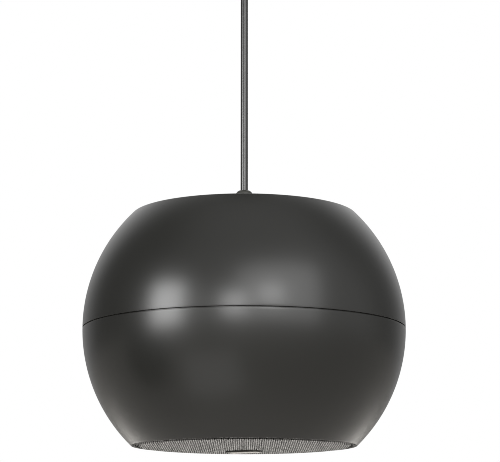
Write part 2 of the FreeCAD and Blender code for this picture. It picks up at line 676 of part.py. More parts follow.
def tweeter_dome():
    """Thin dome in the front of the tweeter."""
    base = magnet_seat - TWEETER_POST_NOSE - TWEETER_LENGTH + TWEETER_RECESS_DEPTH
    reach = TWEETER_RECESS_RADIUS - DOME_CLEARANCE
    ball = (reach ** 2 + TWEETER_DOME_HEIGHT ** 2) / (2 * TWEETER_DOME_HEIGHT)
    centre = base - TWEETER_DOME_HEIGHT + ball
    inner = ball - TWEETER_DOME_WALL
    inner_reach = math.sqrt(inner ** 2 - (centre - base) ** 2)
    slope = math.asin(reach / ball) / 2
    return turned(
        (0, base - TWEETER_DOME_HEIGHT),
        ((ball * math.sin(slope), centre - ball * math.cos(slope)), (reach, base)),
        (inner_reach, base),
        ((inner * math.sin(slope), centre - inner * math.cos(slope)), (0, centre - inner)))


def gland_body():
    """Hexagon base with the thread through the top and the neck for the dome nut."""
    base_top = top_height + GLAND_BASE_HEIGHT
    body = hexagon(GLAND_BASE_FLATS, top_height, base_top)
    body = body.fuse(post(0, 0, GLAND_THREAD_DIAMETER / 2, gland_tail, top_height))
    body = body.fuse(post(0, 0, GLAND_NECK_DIAMETER / 2, base_top, base_top + GLAND_NECK_HEIGHT))
    body = body.cut(post(0, 0, cable_radius + GRIP_BORE_CLEARANCE, gland_tail - 1, gland_top))
    seal_seat = gland_top - GLAND_DOME_RADIUS - GLAND_SEAL_TAIL
    return body.cut(post(0, 0, GLAND_NECK_BORE / 2, seal_seat, gland_top))


def gland_dome_nut():
    """Nut with a rounded top around the cable."""
    low = top_height + GLAND_BASE_HEIGHT
    dome_foot = gland_top - GLAND_DOME_RADIUS
    dome_radius = GLAND_DOME_DIAMETER / 2
    nut = hexagon(GLAND_NUT_FLATS, low, low + GLAND_NUT_FLATS_HEIGHT)
    nut = nut.fuse(post(0, 0, dome_radius, low, gland_top))
    nut = round_edge(nut, GLAND_DOME_RADIUS - 0.01, dome_radius, gland_top)
    nut = nut.cut(post(0, 0, GLAND_NECK_DIAMETER / 2 + GLAND_NUT_CLEARANCE, low - 1, dome_foot))
    return nut.cut(post(0, 0, cable_radius + GRIP_BORE_CLEARANCE, low, gland_top + 1))


def gland_seal():
    """Rubber sleeve squeezed around the cable."""
    high = gland_top - GLAND_DOME_RADIUS
    return ring(cable_radius, GLAND_NECK_BORE / 2 - GLAND_NUT_CLEARANCE, high - GLAND_SEAL_TAIL, high)


def gland_locknut():
    """Nut under the top."""
    nut = hexagon(GLAND_LOCKNUT_FLATS, top_inside - GLAND_LOCKNUT_HEIGHT, top_inside)
    return nut.cut(post(0, 0, GLAND_THREAD_DIAMETER / 2 + THREAD_CLEARANCE, gland_tail - 1, top_inside + 1))


def cable_stop():
    """Collar clamped on the cable under the gland, which carries the speaker's weight."""
    collar = ring(cable_radius, CABLE_STOP_DIAMETER / 2, gland_tail - CABLE_STOP_HEIGHT, gland_tail)
    screw = Part.makeCylinder(CABLE_STOP_SCREW_DIAMETER / 2, CABLE_STOP_DIAMETER / 2 - cable_radius - 1,
                              V(cable_radius + 1, 0, gland_tail - CABLE_STOP_HEIGHT / 2), V(1, 0, 0))
    return collar.cut(screw)


def crossover_board():
    """Circuit board under the standoffs."""
    board = box((-BOARD_LENGTH / 2, BOARD_LENGTH / 2), (-BOARD_WIDTH / 2, BOARD_WIDTH / 2),
                (board_top - BOARD_THICKNESS, board_top))
    for x, y in board_corners():
        hole = BOARD_SCREW_DIAMETER / 2 + SCREW_CLEARANCE
        board = board.cut(post(x, y, hole, board_top - 2 * BOARD_THICKNESS,
                               board_top + 1))
    return board


def board_screws():
    """Four screws of the board."""
    seat = board_top - BOARD_THICKNESS
    return [pan_screw(x, y, seat, BOARD_SCREW_DIAMETER, BOARD_SCREW_LENGTH, BOARD_SCREW_HEAD_DIAMETER,
                      BOARD_SCREW_HEAD_HEIGHT)
            for x, y in board_corners()]


def terminal_block():
    """Screw terminals on the board, where the cable ends."""
    block = centred_box(0, 0, TERMINAL_BLOCK_SIZE, board_top)
    for x in (-TERMINAL_BLOCK_SIZE[0] / 3, TERMINAL_BLOCK_SIZE[0] / 3):
        well = post(x, 0, TERMINAL_WELL_DIAMETER / 2, terminal_top - TERMINAL_WELL_DEPTH, terminal_top + 1)
        block = block.cut(well)
    return block


def crossover_capacitor():
    """Round capacitor lying on the board."""
    x, y = CAPACITOR_PLACE
    radius = CAPACITOR_DIAMETER / 2
    start = V(x - CAPACITOR_LENGTH / 2, y, board_top + radius)
    return Part.makeCylinder(radius, CAPACITOR_LENGTH, start, V(1, 0, 0))


def crossover_coil():
    """Wound coil standing on the board."""
    x, y = INDUCTOR_PLACE
    coil = ring(INDUCTOR_BORE / 2, INDUCTOR_DIAMETER / 2, board_top, board_top + INDUCTOR_HEIGHT)
    coil.translate(V(x, y, 0))
    return coil


transformer_top = top_inside - TRANSFORMER_BOSS_HEIGHT
transformer_bottom = transformer_top - CORE_HEIGHT


def transformer_core():
    """Laminated core with its two windows."""
    y_range = (TRANSFORMER_OFFSET - CORE_STACK / 2, TRANSFORMER_OFFSET + CORE_STACK / 2)
    core = box((-CORE_WIDTH / 2, CORE_WIDTH / 2), y_range, (transformer_bottom, transformer_top))
    inner = (CORE_LEG, CORE_WIDTH / 2 - CORE_LEG)
    z_range = (transformer_bottom + CORE_LEG, transformer_top - CORE_LEG)
    core = core.cut(box(inner, y_range, z_range))
    return core.cut(box((-inner[1], -inner[0]), y_range, z_range))


def transformer_coil():
    """Winding around the middle leg of the core."""
    gap = WINDING_CLEARANCE
    half = CORE_WIDTH / 2 - CORE_LEG - gap
    reach = CORE_STACK / 2 + WINDING_OVERHANG
    z_range = (transformer_bottom + CORE_LEG + gap, transformer_top - CORE_LEG - gap)
    coil = box((-half, half), (TRANSFORMER_OFFSET - reach, TRANSFORMER_OFFSET + reach), z_range)
    leg = CORE_LEG + gap
    depth = CORE_STACK / 2 + gap
    return coil.cut(box((-leg, leg), (TRANSFORMER_OFFSET - depth, TRANSFORMER_OFFSET + depth), z_range))


def transformer_bracket():
    """Strap around the core with two screwed feet."""
    half = CORE_WIDTH / 2
    outer = half + TRANSFORMER_STRAP
    y_range = (TRANSFORMER_OFFSET - CORE_STACK / 2, TRANSFORMER_OFFSET + CORE_STACK / 2)
    low = transformer_bottom - TRANSFORMER_STRAP
    strap = box((-outer, outer), y_range, (low, transformer_top))
    strap = strap.cut(box((-half, half), y_range, (transformer_bottom, transformer_top)))
    for side in (-1, 1):
        foot = box(sorted((side * half, side * (outer + TRANSFORMER_FOOT))), y_range,
                   (transformer_top - TRANSFORMER_STRAP, transformer_top))
        strap = strap.fuse(foot)
    strap = strap.removeSplitter()
    for x, y in transformer_feet():
        hole = post(x, y, BOARD_SCREW_DIAMETER / 2 + SCREW_CLEARANCE, transformer_top - 2 * TRANSFORMER_STRAP,
                    transformer_top + 1)
        strap = strap.cut(hole)
    return strap


def transformer_screws():
    """Two screws of the transformer's feet."""
    seat = transformer_top - TRANSFORMER_STRAP
    return [pan_screw(x, y, seat, BOARD_SCREW_DIAMETER, TRANSFORMER_SCREW_LENGTH, BOARD_SCREW_HEAD_DIAMETER,
                      BOARD_SCREW_HEAD_HEIGHT)
            for x, y in transformer_feet()]


def ceiling_plate():
    """Round steel plate screwed to the ceiling."""
    plate = ring(0, CEILING_PLATE_DIAMETER / 2, -CEILING_PLATE_THICKNESS, 0)
    plate = plate.cut(post(0, 0, CEILING_WIRE_HOLE_DIAMETER / 2, -CEILING_PLATE_THICKNESS - 1, 1)
                      .translated(V(0, CEILING_PLATE_DIAMETER / 4, 0)))
    for x in (-CEILING_SCREW_SPACING / 2, CEILING_SCREW_SPACING / 2):
        plate = plate.cut(post(x, 0, CEILING_SCREW_HOLE_DIAMETER / 2, -CEILING_PLATE_THICKNESS - 1, 1))
    return plate


def cup_lugs():
    """Two angles welded under the plate, which take the screws of the cup."""
    across = (-LUG_WIDTH / 2, LUG_WIDTH / 2)
    seat = -CEILING_PLATE_THICKNESS
    face = cup_inside - LUG_CLEARANCE
    thread = Part.makeCylinder(CUP_SCREW_DIAMETER / 2 + THREAD_CLEARANCE, 2 * cup_radius,
                               V(0, -cup_radius, -LUG_SCREW_HEIGHT), V(0, 1, 0))
    pair = []
    for side in (-1, 1):
        foot = box(across, sorted((side * (face - LUG_FOOT), side * face)), (seat - LUG_THICKNESS, seat))
        arm = box(across, sorted((side * (face - LUG_THICKNESS), side * face)), (-LUG_HEIGHT, seat))
        pair.append(foot.fuse(arm).removeSplitter().cut(thread))
    return pair


def ceiling_cup():
    """Drawn steel cup that covers the plate."""
    cup = round_edge(ring(0, cup_radius, -CUP_HEIGHT, 0), CUP_CORNER_RADIUS, cup_radius, -CUP_HEIGHT)
    cup = cup.cut(ring(0, cup_inside, -CUP_HEIGHT + CUP_WALL, 0))
    grip_hole = GRIP_THREAD_DIAMETER / 2 + SCREW_CLEARANCE
    cup = cup.cut(post(0, 0, grip_hole, -CUP_HEIGHT - 1, -CUP_HEIGHT + CUP_WALL + 1))
    side_holes = Part.makeCylinder(CUP_SCREW_DIAMETER / 2 + SCREW_CLEARANCE, 2 * CUP_DIAMETER,
                                   V(0, -CUP_DIAMETER, -LUG_SCREW_HEIGHT), V(0, 1, 0))
    return cup.cut(side_holes)


def cup_screws():
    """Two screws through the side of the cup into the lugs."""
    pair = []
    for side in (-1, 1):
        screw = pan_screw(0, 0, 0, CUP_SCREW_DIAMETER, CUP_SCREW_LENGTH, CUP_SCREW_HEAD_DIAMETER,
                          CUP_SCREW_HEAD_HEIGHT)
        screw.rotate(V(0, 0, 0), V(1, 0, 0), 90 * side)
        screw.translate(V(0, side * cup_radius, -LUG_SCREW_HEIGHT))
        pair.append(screw)
    return pair


def cord_grip():
    """Grip in the bottom of the cup that holds the cable."""
    seat = -CUP_HEIGHT
    bore = cable_radius + GRIP_BORE_CLEARANCE
    return turned(
        (bore, seat - GRIP_LENGTH),
        (GRIP_TIP_DIAMETER / 2, seat - GRIP_LENGTH),
        (GRIP_NOSE_DIAMETER / 2, seat - GRIP_FLANGE_HEIGHT - 3),
        (GRIP_NOSE_DIAMETER / 2, seat - GRIP_FLANGE_HEIGHT),
        (GRIP_FLANGE_DIAMETER / 2, seat - GRIP_FLANGE_HEIGHT),
        (GRIP_FLANGE_DIAMETER / 2, seat),
        (GRIP_THREAD_DIAMETER / 2, seat),
        (GRIP_THREAD_DIAMETER / 2, seat + GRIP_THREAD_HEIGHT),
        (bore, seat + GRIP_THREAD_HEIGHT))


def cord_grip_nut():
    """Nut of the grip, inside the cup."""
    low = -CUP_HEIGHT + CUP_WALL
    nut = hexagon(GRIP_NUT_FLATS, low, low + GRIP_NUT_HEIGHT)
    thread = GRIP_THREAD_DIAMETER / 2 + THREAD_CLEARANCE
    return nut.cut(post(0, 0, thread, low - 1, low + GRIP_NUT_HEIGHT + 1))


def ceiling_terminal():
    """Screw terminals under the plate, where the cable ends."""
    high = -CEILING_PLATE_THICKNESS
    low = high - CEILING_TERMINAL_SIZE[2]
    block = centred_box(0, 0, CEILING_TERMINAL_SIZE, low)
    for x in (-CEILING_TERMINAL_SIZE[0] / 3, CEILING_TERMINAL_SIZE[0] / 3):
        block = block.cut(post(x, 0, TERMINAL_WELL_DIAMETER / 2, low - 1, low + TERMINAL_WELL_DEPTH))
    return block


# Route of the cable: one straight, taut run from the board's terminals to the ceiling's
CABLE_ROUTE = [
    V(0, 0, terminal_top - speaker_drop),
    V(0, 0, -CEILING_PLATE_THICKNESS - CEILING_TERMINAL_SIZE[2]),
]


def cable():
    """Round cable along its straight route."""
    start, end = CABLE_ROUTE
    run = end - start
    tube = Part.makeCylinder(cable_radius, run.Length, start, run)
    print("cable length", round(run.Length, 2), "volume", round(tube.Volume, 1),
          "section times length", round(math.pi * cable_radius ** 2 * run.Length, 1), "no arcs")
    return tube


def save(name, made, drop=0.0):
    """Writes one node, lowered by the drop. A list becomes one group of separate solids."""
    shape = Part.makeCompound(made) if isinstance(made, list) else made
    shape = shape.translated(V(0, 0, -drop))
    shape.exportStep("parts/" + name + ".step")
    solids = shape.Solids
    print(name, "solids", len(solids), "volume", round(sum(solid.Volume for solid in solids), 1),
          "valid", all(solid.isValid() for solid in solids))


SPEAKER_PIECES = (
    upper_shell, lower_shell, seam_gasket, shell_screws, front_baffle, baffle_screws, grille, grille_badge,
    driver_gasket, woofer_basket, driver_screws, surround, cone, voice_coil, spider, top_plate, magnet,
    pole_yoke, driver_terminals, tweeter_post, tweeter_body, tweeter_dome, gland_body, gland_dome_nut,
    gland_seal, gland_locknut, cable_stop, crossover_board, board_screws, terminal_block,
    crossover_capacitor, crossover_coil, transformer_core, transformer_coil, transformer_bracket,
    transformer_screws)
CEILING_PIECES = (
    ceiling_plate, cup_lugs, ceiling_cup, cup_screws, cord_grip, cord_grip_nut, ceiling_terminal, cable)

os.makedirs("parts", exist_ok=True)
print("speaker drop", round(speaker_drop, 3))
for piece in SPEAKER_PIECES:
    save(piece.__name__, piece(), speaker_drop)
for piece in CEILING_PIECES:
    save(piece.__name__, piece())
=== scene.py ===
"""Dressed model of a ball-shaped pendant loudspeaker on its own cable.

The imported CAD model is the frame. Lengths are in millimetres in the dataclasses and in metres in the meshes.
Heights of the speaker's own pieces are measured from the seam in the middle of the ball, and heights of the
ceiling's pieces from the ceiling.
"""
from __future__ import annotations

import json
import logging
import math
from dataclasses import dataclass, field
from enum import Enum
from typing import Any

import bmesh
import bpy
from mathutils import Matrix, Vector

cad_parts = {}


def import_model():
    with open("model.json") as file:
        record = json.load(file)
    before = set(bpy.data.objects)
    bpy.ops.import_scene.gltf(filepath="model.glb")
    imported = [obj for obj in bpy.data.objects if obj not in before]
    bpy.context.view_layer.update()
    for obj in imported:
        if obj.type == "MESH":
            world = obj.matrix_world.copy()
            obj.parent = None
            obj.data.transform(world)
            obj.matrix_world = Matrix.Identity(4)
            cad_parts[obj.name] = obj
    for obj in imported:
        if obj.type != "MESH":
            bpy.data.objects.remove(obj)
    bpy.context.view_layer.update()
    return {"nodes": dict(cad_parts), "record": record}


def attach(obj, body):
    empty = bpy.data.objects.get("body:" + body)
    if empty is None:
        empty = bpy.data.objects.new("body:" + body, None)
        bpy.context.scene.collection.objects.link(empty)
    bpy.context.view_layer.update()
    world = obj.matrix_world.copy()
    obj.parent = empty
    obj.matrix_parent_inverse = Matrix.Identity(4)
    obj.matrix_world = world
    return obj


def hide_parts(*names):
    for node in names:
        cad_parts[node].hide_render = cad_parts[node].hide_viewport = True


log = logging.getLogger("pendant_speaker")

# Metres in a millimetre
MM = 0.001
# Height of the ceiling above the ball's seam
SEAM_TO_CEILING = 353.38
# Gap round the grille in its recess
GRILLE_CLEARANCE = 0.2
TURNED_SEGMENTS = 256
POST_SEGMENTS = 24
HOLE_SIDES = 6
# A point of a profile that is closer to the axis than this lies on it
ON_AXIS = 1e-6
# Largest share of a profile's side that one rounding takes
ROUNDING_SHARE = 0.9
# Radians that the phase of the wave texture gains over one unit
WAVE_RADIANS = 20.0
# Brush marks are 25 times as long as they are wide
BRUSH_STRETCH = (0.04, 1.0, 1.0)
# Watts on a square metre that give an area light a brightness of 1
WATTS_PER_BRIGHTNESS = 4.0

# Radius and height in a profile, or a place across a sheet
Point = tuple[float, float]
# A place with its height, or a profile's corner with its rounding
Corner = tuple[float, float, float]
# Column of a hole and its place in the column
Cell = tuple[int, int]
# Vertices all the way round a hole or an edge
Ring = list[bmesh.types.BMVert]


# Small helpers

def linear(colour: str) -> tuple[float, float, float, float]:
    """Turn an sRGB hex colour into the linear colour that a shader takes.

    Args:
        colour: Six hex digits after a hash sign.

    Returns:
        Linear red, green, blue and an alpha of 1.
    """
    parts = [int(colour[i:i + 2], 16) / 255 for i in (1, 3, 5)]
    red, green, blue = [p / 12.92 if p <= 0.04045 else ((p + 0.055) / 1.055) ** 2.4 for p in parts]
    return red, green, blue, 1.0


def add_node(tree: bpy.types.NodeTree, kind: str, settings: dict[str, Any] | None = None,
             inputs: dict[Any, Any] | None = None, links: dict[Any, Any] | None = None) -> bpy.types.Node:
    """Add one shader node with its settings, constants and incoming links.

    Args:
        tree: Tree that takes the node.
        kind: Type name of the node.
        settings: Attributes of the node and their values.
        inputs: Input sockets and their constant values.
        links: Input sockets and the output sockets that feed them.

    Returns:
        The new node.
    """
    node = tree.nodes.new(kind)
    for name, value in (settings or {}).items():
        setattr(node, name, value)
    for name, value in (inputs or {}).items():
        node.inputs[name].default_value = value
    for name, source in (links or {}).items():
        tree.links.new(source, node.inputs[name])
    return node


def arc(centre: Point, radius: float, start: float, end: float, steps: int) -> list[Point]:
    """Points on a circular arc.

    Args:
        centre: Middle of the arc.
        radius: Radius of the arc.
        start: First angle in degrees, from the first axis towards the second.
        end: Last angle in degrees.
        steps: Number of steps from the first point to the last.

    Returns:
        The points, both ends included.
    """
    angles = [math.radians(start + (end - start) * k / steps) for k in range(steps + 1)]
    return [(centre[0] + radius * math.cos(a), centre[1] + radius * math.sin(a)) for a in angles]


def ball_arc(radius: float, low: float, high: float, steps: int) -> list[Point]:
    """Profile of a ball between two heights.

    Args:
        radius: Radius of the ball.
        low: Height of the first point.
        high: Height of the last point.
        steps: Number of steps between them.

    Returns:
        The points from the first height to the last.
    """
    start = math.degrees(math.asin(low / radius))
    end = math.degrees(math.asin(high / radius))
    return arc((0, 0), radius, start, end, steps)


def around(count: int, radius: float, first: float = 0.0) -> list[Point]:
    """Places spread evenly on a circle.

    Args:
        count: Number of places.
        radius: Radius of the circle.
        first: Angle of the first place in degrees.

    Returns:
        The places in order.
    """
    angles = [math.radians(first + 360 / count * k) for k in range(count)]
    return [(radius * math.cos(a), radius * math.sin(a)) for a in angles]


def softened(corners: list[Point | Corner], steps: int) -> list[Point]:
    """Round the marked corners of a closed profile.

    Args:
        corners: Points as radius and height, with a rounding radius as third value where the corner is soft.
        steps: Number of steps in each rounding.

    Returns:
        The closed profile as plain points.
    """
    made: list[Point] = []
    count = len(corners)
    for index, corner in enumerate(corners):
        here = Vector(corner[:2])
        if len(corner) == 2:
            made.append((here.x, here.y))
            continue
        before = Vector(corners[index - 1][:2]) - here
        after = Vector(corners[(index + 1) % count][:2]) - here
        half = before.angle(after) / 2
        room = ROUNDING_SHARE * min(before.length, after.length)
        reach = min(corner[2] / math.tan(half), room)
        radius = reach * math.tan(half)
        middle = here + (before.normalized() + after.normalized()).normalized() * (radius / math.sin(half))
        first = here + before.normalized() * reach - middle
        last = here + after.normalized() * reach - middle
        turn = first.angle_signed(last)
        for step in range(steps + 1):
            spoke = Matrix.Rotation(-turn * step / steps, 2) @ first
            made.append((middle.x + spoke.x, middle.y + spoke.y))
    return made


def smooth(mesh: bpy.types.Mesh, sharp_angle: float = 32.0) -> None:
    """Shade a mesh smooth and keep its sharp edges.

    Args:
        mesh: Mesh to shade.
        sharp_angle: Angle in degrees over which an edge stays sharp.
    """
    mesh.shade_smooth()
    mesh.set_sharp_from_angle(angle=math.radians(sharp_angle))


def object_from(name: str, build: bmesh.types.BMesh) -> bpy.types.Object:
    """Turn a bmesh in millimetres into a linked object in metres.

    Args:
        name: Name of the piece.
        build: The finished bmesh, which is freed.

    Returns:
        The new object.
    """
    bmesh.ops.scale(build, vec=(MM, MM, MM), verts=build.verts)
    mesh = bpy.data.meshes.new(name)
    build.to_mesh(mesh)
    build.free()
    smooth(mesh)
    piece = bpy.data.objects.new(name, mesh)
    bpy.context.scene.collection.objects.link(piece)
    return piece


def add_circle(build: bmesh.types.BMesh, radius: float, height: float, segments: int,
               centre: Point = (0.0, 0.0)) -> Ring:
    """Add the vertices of one level circle.

    Args:
        build: Mesh that takes the vertices.
        radius: Radius of the circle.
        height: Height of the circle.
        segments: Number of vertices.
        centre: Place of the axis.

    Returns:
        The vertices in order.
    """
    x, y = centre
    angles = [math.tau * k / segments for k in range(segments)]
    return [build.verts.new((x + radius * math.cos(a), y + radius * math.sin(a), height)) for a in angles]


def join_rows(build: bmesh.types.BMesh, rows: list[Ring]) -> None:
    """Join rows of vertices by four-sided faces all the way round.

    Args:
        build: Mesh that takes the faces.
        rows: Rows of the same length.
    """
    count = len(rows[0])
    for before, after in zip(rows, rows[1:]):
        for k in range(count):
            n = (k + 1) % count
            build.faces.new((before[k], after[k], after[n], before[n]))


def revolve(build: bmesh.types.BMesh, profile: list[Point], centre: Point = (0.0, 0.0),
            segments: int = TURNED_SEGMENTS, lift: float = 0.0) -> None:
    """Turn a closed profile about an upright axis.

    Args:
        build: Mesh that takes the faces.
        profile: Closed profile as radius and height. A radius of 0 lies on the axis.
        centre: Place of the axis.
        segments: Number of steps in a full turn.
        lift: Height added to every point.
    """
    rows: list[Ring] = []
    for radius, height in profile:
        if radius < ON_AXIS:
            rows.append([build.verts.new((centre[0], centre[1], height + lift))])
        else:
            rows.append(add_circle(build, radius, height + lift, segments, centre))
    for index, row in enumerate(rows):
        after = rows[(index + 1) % len(rows)]
        if len(row) == 1 and len(after) == 1:
            continue
        for k in range(segments):
            n = (k + 1) % segments
            ring = [row[k % len(row)], row[n % len(row)], after[n % len(after)], after[k % len(after)]]
            build.faces.new(list(dict.fromkeys(ring)))


def add_post(build: bmesh.types.BMesh, place: Point, radius: float, low: float, high: float) -> None:
    """Add a plain round post to a mesh of the speaker.

    Args:
        build: Mesh that takes the post.
        place: Middle of the post.
        radius: Radius of the post.
        low: Height of its lower end.
        high: Height of its upper end.
    """
    profile = [(0, low), (radius, low), (radius, high), (0, high)]
    revolve(build, profile, place, POST_SEGMENTS, -SEAM_TO_CEILING)


# Finishes

class Relief(Enum):
    """How the surface of a finish is shaped at close range."""

    PLAIN = "plain"
    GRAIN = "moulded grain"
    ORANGE_PEEL = "powder coat"
    BRUSHED = "turned or brushed marks"
    WOUND = "wound wire"
    WOVEN = "woven cloth"
    FIBRES = "pressed fibres"


# Layers of ever finer noise in each of the random reliefs
NOISE_LAYERS = {Relief.GRAIN: 1.0, Relief.ORANGE_PEEL: 0.0, Relief.FIBRES: 4.0}


@dataclass(frozen=True)
class Finish:
    """One real material and how its surface was made.

    Args:
        name: Common name of the material and its surface.
        colour: sRGB hex colour.
        roughness: Roughness of the shader.
        metallic: 1 for a bare metal.
        ior: Index of refraction of a plastic, paint or rubber.
        relief: Shape of the surface at close range.
        relief_mm: Size of one grain, ridge, groove or thread.
        depth_mm: Depth of the relief.
        unevenness: How much the roughness changes over the surface.
    """

    name: str
    colour: str
    roughness: float
    metallic: float = 0.0
    ior: float = 1.5
    relief: Relief = Relief.PLAIN
    relief_mm: float = 1.0
    depth_mm: float = 0.0
    unevenness: float = 0.0

    def pattern(self, tree: bpy.types.NodeTree, place: bpy.types.NodeSocket) -> bpy.types.NodeSocket:
        """Build the height pattern of the relief.

        Args:
            tree: Tree of the material.
            place: Socket with the object's own coordinates in metres.

        Returns:
            Socket with the height from 0 to 1.
        """
        per_metre = 1 / (self.relief_mm * MM)
        if self.relief is Relief.BRUSHED:
            stretched = add_node(tree, "ShaderNodeVectorMath", {"operation": "MULTIPLY"},
                                 {1: BRUSH_STRETCH}, {0: place})
            marks = add_node(tree, "ShaderNodeTexNoise", {}, {"Scale": per_metre, "Detail": 2.0},
                             {"Vector": stretched.outputs[0]})
            return marks.outputs[0]
        if self.relief is Relief.WOUND:
            turns = add_node(tree, "ShaderNodeTexWave", {"wave_type": "BANDS", "bands_direction": "Z"},
                             {"Scale": per_metre / WAVE_RADIANS * math.pi}, {"Vector": place})
            return turns.outputs[1]
        if self.relief is Relief.WOVEN:
            threads = add_node(tree, "ShaderNodeTexBrick", {"offset": 0.5},
                               {"Scale": per_metre, "Mortar Size": 0.12, "Mortar Smooth": 0.8,
                                "Brick Width": 1.0, "Row Height": 0.5}, {"Vector": place})
            return threads.outputs[1]
        sizes = {"Scale": per_metre, "Detail": NOISE_LAYERS[self.relief]}
        grain = add_node(tree, "ShaderNodeTexNoise", {}, sizes, {"Vector": place})
        return grain.outputs[0]

    def material(self) -> bpy.types.Material:
        """Build the material, unless it is built already.

        Returns:
            The material.
        """
        known = bpy.data.materials.get(self.name)
        if known is not None:
            return known
        made = bpy.data.materials.new(self.name)
        made.use_nodes = True
        tree = made.node_tree
        shader = tree.nodes["Principled BSDF"]
        shader.inputs["Base Color"].default_value = linear(self.colour)
        shader.inputs["Roughness"].default_value = self.roughness
        shader.inputs["Metallic"].default_value = self.metallic
        if self.metallic < 1:
            shader.inputs["IOR"].default_value = self.ior
        if self.relief is Relief.PLAIN:
            return made
        place = add_node(tree, "ShaderNodeTexCoord").outputs["Object"]
        height = self.pattern(tree, place)
        if self.depth_mm > 0:
            bump = add_node(tree, "ShaderNodeBump", {}, {"Strength": 1.0, "Distance": self.depth_mm * MM},
                            {"Height": height})
            tree.links.new(bump.outputs[0], shader.inputs["Normal"])
        if self.unevenness > 0:
            limits = {"To Min": self.roughness - self.unevenness, "To Max": self.roughness + self.unevenness}
            spread = add_node(tree, "ShaderNodeMapRange", {}, limits, {"Value": height})
            tree.links.new(spread.outputs[0], shader.inputs["Roughness"])
        return made


# Moulded ABS with a fine spark-eroded grain: a satin grey-black that spreads each highlight into a soft spot.
# The real grain of 0.3 mm is too fine to show, so it is drawn 1.2 mm coarse.
TEXTURED_ABS = Finish("textured ABS", "#1f1f1d", 0.30, relief=Relief.GRAIN, relief_mm=1.2, depth_mm=0.004)
# The same plastic on the rim's narrow lower face: matt, so that it doesn't mirror the floor as a bright line,
# and a little darker than the housing as painted shade
MATT_SHADED_RIM = Finish("matt ABS with painted shade", "#1a1a18", 0.75, ior=1.4)
# Perforated mild steel under a nearly black powder coat, with the faint peel that the baked powder leaves.
# Seen from the photograph's low angle it mirrors the pale floor, and so it looks grey.
POWDER_COATED_STEEL = Finish("powder-coated perforated steel", "#141311", 0.40, relief=Relief.ORANGE_PEEL,
                             relief_mm=1.5, depth_mm=0.004)
# Satin anodised aluminium plate: a soft metal sheen, left bare
SATIN_ALUMINIUM = Finish("satin anodised aluminium", "#767572", 0.45, 1.0, relief=Relief.BRUSHED,
                         relief_mm=0.8, depth_mm=0.002)
# Polyamide of a moulded cable gland: a little lighter than the housing, with a satin skin
GLAND_NYLON = Finish("moulded polyamide", "#33332f", 0.42, ior=1.53, relief=Relief.GRAIN, relief_mm=1.0,
                     depth_mm=0.003)
# Extruded PVC jacket: drawn smooth through a die, so it mirrors the lights in narrow upright lines
PVC_JACKET = Finish("PVC cable jacket", "#20201f", 0.31, ior=1.62)
# Cured nitrile rubber: matt and nearly black
BLACK_RUBBER = Finish("nitrile rubber", "#191918", 0.6, ior=1.52)
# Closed-cell foam strip: open pores on its cut faces and no gloss
FOAM_STRIP = Finish("closed-cell foam", "#222222", 0.9, relief=Relief.GRAIN, relief_mm=0.8, depth_mm=0.15)
# Zinc-plated steel: a bright, slightly uneven metal
ZINC_PLATED_STEEL = Finish("zinc-plated steel", "#bfc1c4", 0.3, 1.0, relief=Relief.ORANGE_PEEL, relief_mm=2.0,
                           unevenness=0.06)
# Moulded black polystyrene of the baffle: matt, so that nothing shines through the grille
BLACK_BAFFLE = Finish("black moulded polystyrene", "#141414", 0.6, ior=1.59)
# Stove enamel on pressed steel: black and half glossy
STOVE_ENAMEL = Finish("black stove enamel", "#161616", 0.35)
# Pressed paper pulp, dyed black: a fibrous matt skin
PAPER_PULP = Finish("pressed paper pulp", "#1d1d1c", 0.85, relief=Relief.FIBRES, relief_mm=1.4,
                    depth_mm=0.03)
# Enamelled copper wire wound in layers: bright ridges 0.6 mm wide with grooves between them
ENAMELLED_COPPER = Finish("enamelled copper wire", "#b5622f", 0.3, 1.0, relief=Relief.WOUND, relief_mm=0.6,
                          depth_mm=0.1)
# Cotton cloth dipped in phenolic resin: amber, with a woven surface
RESIN_CLOTH = Finish("phenolic-dipped cotton", "#b98f4a", 0.7, relief=Relief.WOVEN, relief_mm=1.2,
                     depth_mm=0.05)
# Ground strontium ferrite: dark grey ceramic with a dull sheen
FERRITE = Finish("ground ferrite", "#3b3a39", 0.5, ior=2.3, relief=Relief.GRAIN, relief_mm=0.7, depth_mm=0.01)
# Moulded ABS of the tweeter: smooth, and a little duller than the housing
TWEETER_ABS = Finish("moulded ABS", "#1a1a1a", 0.4)
# Silk dome with a rubbery damping coat: fine threads under a soft gloss
COATED_SILK = Finish("coated silk", "#1b1b1e", 0.5, relief=Relief.WOVEN, relief_mm=0.5, depth_mm=0.01)
# Stacked silicon steel sheets of 0.5 mm, with the varnish between them as fine grooves
VARNISHED_LAMINATIONS = Finish("varnished silicon steel", "#5c5c60", 0.4, 1.0, relief=Relief.WOUND,
                               relief_mm=0.5, depth_mm=0.05)
# Glass-epoxy board under green solder resist
CIRCUIT_BOARD = Finish("glass-epoxy board", "#1f5a2d", 0.35, ior=1.55)
# Polyamide of screw terminals, dyed green
TERMINAL_POLYAMIDE = Finish("green polyamide", "#2c6b3c", 0.45, ior=1.53)
# PET sleeve shrunk over the capacitor: dark blue and glossy
SHRINK_SLEEVE = Finish("PET shrink sleeve", "#1c2a5e", 0.2, ior=1.57)
# Satin enamel on the drawn steel cup: dark grey, a little lighter than the housing
SATIN_ENAMEL = Finish("satin enamel on steel", "#363632", 0.38, relief=Relief.ORANGE_PEEL, relief_mm=2.0,
                      depth_mm=0.004)
# Painted board of the studio's floor: pale, a little warm and matt
STUDIO_FLOOR = Finish("pale studio floor", "#e8e4de", 0.8)
# Felt of the panel beside the ball: it swallows nearly all of the light
BLACK_FELT = Finish("black felt", "#0c0c0c", 0.9)


def dress(piece: bpy.types.Object, finish: Finish) -> None:
    """Give a piece its finish as its only material.

    Args:
        piece: Mesh or curve object.
        finish: Finish that it takes.
    """
    piece.data.materials.clear()
    piece.data.materials.append(finish.material())


